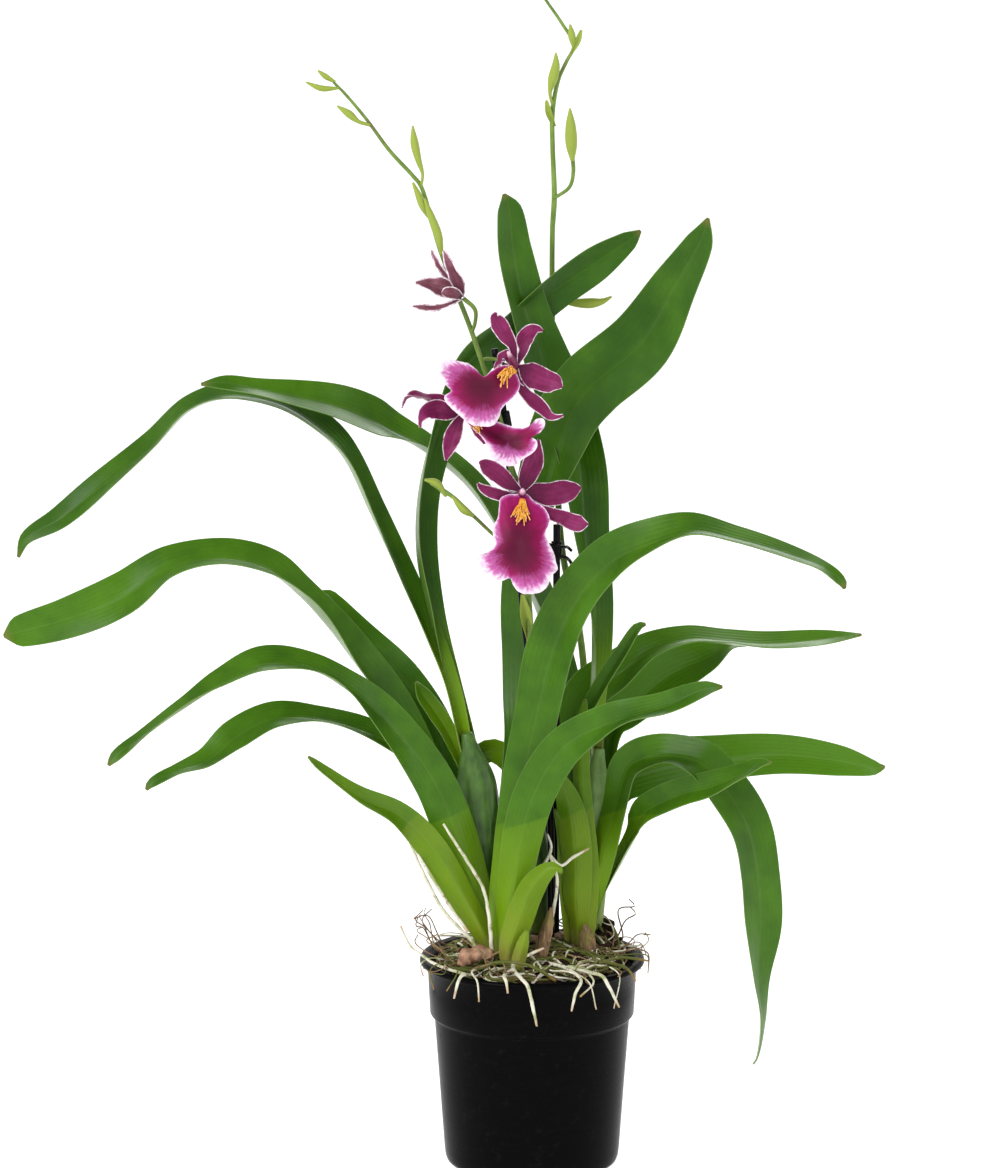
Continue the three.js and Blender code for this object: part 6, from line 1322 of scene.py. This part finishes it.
felt_piece("felt_pale", felt(54, 50, 7, 8, (0.3, 0.75)) + hanging(12, (0.35, 0.7)), ROOT)
felt_piece("felt_green", felt(120, 50, 7, 8, (0.35, 0.85)) + hanging(9, (0.35, 0.6)), MOSSY_ROOT)
felt_piece("felt_dry", felt(130, 51, 6, 7, (0.22, 0.45)) + hanging(5, (0.3, 0.4)) + wiry(22), SHEATH)

# %% [markdown]
# The nursery pot is thin blow-moulded plastic: a tapered body, a step out to a straight collar,
# and a rolled lip. It is a turned shape, so its wall is one profile carried round a circle, up
# the inside and down the outside. The round drain holes go in with a Boolean, whose result is
# kept as the mesh. Its gloss is broken by faint rings from the mould and by dust.

# %% The pot
PROFILE = [  # radius and height: up the inside, round the lip, down the collar and the body
    (0.3, 1.6), (20, 1.6), (44.2, 1.6), (45.3, 3.4), (51, 79.6), (53.3, 82), (54.6, 110.8),
    (57, 111.6), (58.2, 112), (59.2, 111.7), (60, 110.3), (59.9, 109.2), (59.3, 108.6),
    (56.4, 108.5), (55.8, 107.9), (55.2, 95), (54.5, 81.6), (54.1, 80.9), (52.9, 80.2),
    (52.3, 79.4), (52.1, 78.4), (49.4, 42), (46.9, 7), (46.4, 3), (45.6, 1), (44, 0.1), (43, 0),
    (20, 0), (0.3, 0)]
DRAIN_HOLES = 6
DRAIN_CIRCLE = 30.0
DRILL = [(0.02, -4), (4, -4), (4, 4), (0.02, 4)]


def turned_body(profile, sides):
    """Point k of ring i is (r cos a, r sin a, z) for profile point i and a = 2 pi k / sides."""
    radius, height = np.array(profile, float).T[:, :, None]
    angle = 2 * np.pi * np.arange(sides)[None, :] / sides
    rings = np.stack([radius * np.cos(angle), radius * np.sin(angle), height + 0 * angle], -1)
    return closed_body(rings, tint=np.full(rings.shape[:2], 0.5))


def pot_finish():
    """Black with rings from the mould and a little dust. Its low IOR keeps white rooms off it."""
    f = Finish("pot plastic", roughness=0.32, ior=1.1, specular_ior_level=0.5)
    across = f.grain(f.place(), (0.05, 0.05, 1.0))
    mould = f.noise(1.2, detail=2.0, at=across)
    dust = f.noise(5, detail=6.0).ramp(0.55, 0.8)
    skin = f.mix(dust * 0.1 + mould * 0.04, colour("#040405"), colour("#35332f"))
    rough = f.noise(30) * 0.12 + dust * 0.2 + 0.22
    return f.done(base_color=skin, roughness=rough, normal=f.relief(mould, 0.05))


POT = pot_finish()
pot = piece("pot.moulded", [turned_body(PROFILE, 160)], POT, ["pot"])
drill_points, drill_faces, drill_facts = turned_body(DRILL, 32)
holes = []
for angle in 2 * np.pi * np.arange(DRAIN_HOLES) / DRAIN_HOLES:
    middle = DRAIN_CIRCLE * np.array([np.cos(angle), np.sin(angle), 0])
    holes.append((drill_points + middle, drill_faces, drill_facts))
cutter = piece("hole_cutter", holes, POT)
cut = pot.modifiers.new("drain holes", "BOOLEAN")
cut.object = cutter
cut.solver = "EXACT"
kept = bpy.data.meshes.new_from_object(pot.evaluated_get(bpy.context.evaluated_depsgraph_get()))
pot.modifiers.clear()
pot.data = kept
bpy.data.objects.remove(cutter)
print("pot with drain holes:", len(kept.polygons), "faces")

# %% [markdown]
# The picture was taken from a little above the plant, from far away, against white. A long lens
# two metres off gives the same flat perspective.

# %% Camera
CAMERA_PLACE = (-0.0171, -1.9444, 0.6205)
CAMERA_PITCH = 9.0  # degrees downwards
LENS = 115.43

camera = bpy.data.objects.new("camera", bpy.data.cameras.new("camera"))
camera.data.lens = LENS
camera.data.sensor_width = 36.0
camera.data.clip_end = 20.0
camera.location = CAMERA_PLACE
camera.rotation_euler = (np.radians(90 - CAMERA_PITCH), 0, 0)
bpy.context.collection.objects.link(camera)
bpy.context.scene.camera = camera
bpy.context.scene.view_settings.view_transform = "Standard"

# %% [markdown]
# Studio photographers stand a plant on white paper that curves up behind it, so that no edge
# shows. This plant is looked at from every side, so the pale floor curves up into a wall all
# round: another profile carried round a circle, in metres and facing inwards. The paper glows a
# little, which makes it evenly white without lamps of its own. The light is a bright pale room:
# one big soft lamp high on the left front, a weak one on the right, and a strip behind for the
# leaf edges.

# %% Floor and light
SWEEP = [(0.02, 0), (4.0, 0), (4.5, 0.05), (4.9, 0.25), (5.1, 0.6), (5.2, 1.2), (5.2, 3.4)]
SWEEP_SIDES = 64
distance, height = np.array(SWEEP).T[:, :, None]
angle = 2 * np.pi * np.arange(SWEEP_SIDES)[None, :] / SWEEP_SIDES
rings = np.stack([distance * np.cos(angle), distance * np.sin(angle), height + 0 * angle], -1)
number = np.arange(SWEEP_SIDES * len(SWEEP)).reshape(len(SWEEP), SWEEP_SIDES)
beside = np.roll(number, -1, axis=1)
walls = np.stack([number[:-1], number[1:], beside[1:], beside[:-1]], -1).reshape(-1, 4)
floor_mesh = bpy.data.meshes.new("floor")
floor_mesh.from_pydata(rings.reshape(-1, 3).tolist(), [], walls.tolist() + [number[0].tolist()])
floor_mesh.shade_smooth()
floor = bpy.data.objects.new("floor", floor_mesh)
floor_finish = Finish("pale floor", roughness=0.9, emission_color=colour("#ffffff"),
                      emission_strength=0.85)
floor_mesh.materials.append(floor_finish.done(base_color=colour("#a8a8a8")))
# The glow is only seen. As a lamp it would be sampled at every point and slow the render.
floor_mesh.materials[0].cycles.emission_sampling = "NONE"
bpy.context.collection.objects.link(floor)


def lamp(name, place, aim, size, power):
    """A soft rectangular lamp at a place, turned so that its -z axis points at the aim."""
    light = bpy.data.lights.new(name, "AREA")
    light.shape = "RECTANGLE"
    light.size, light.size_y = size
    light.energy = power
    holder = bpy.data.objects.new(name, light)
    holder.location = place
    way = np.array(place) - np.array(aim)
    lean = np.arctan2(np.hypot(way[0], way[1]), way[2])
    holder.rotation_euler = (lean, 0, np.arctan2(way[0], -way[1]))
    bpy.context.collection.objects.link(holder)


lamp("key", (-1.6, -1.7, 2.1), (0, 0, 0.3), (1.6, 1.2), 60)
lamp("fill", (1.9, -1.2, 0.9), (0, 0, 0.3), (0.9, 1.6), 8)
lamp("back", (0.4, 1.8, 1.9), (0, 0, 0.35), (1.8, 0.8), 36)
world = bpy.data.worlds.new("pale room")
world.use_nodes = True
room = world.node_tree.nodes["Background"]
room.inputs["Color"].default_value = colour("#ffffff")
room.inputs["Strength"].default_value = 0.3
bpy.context.scene.world = world
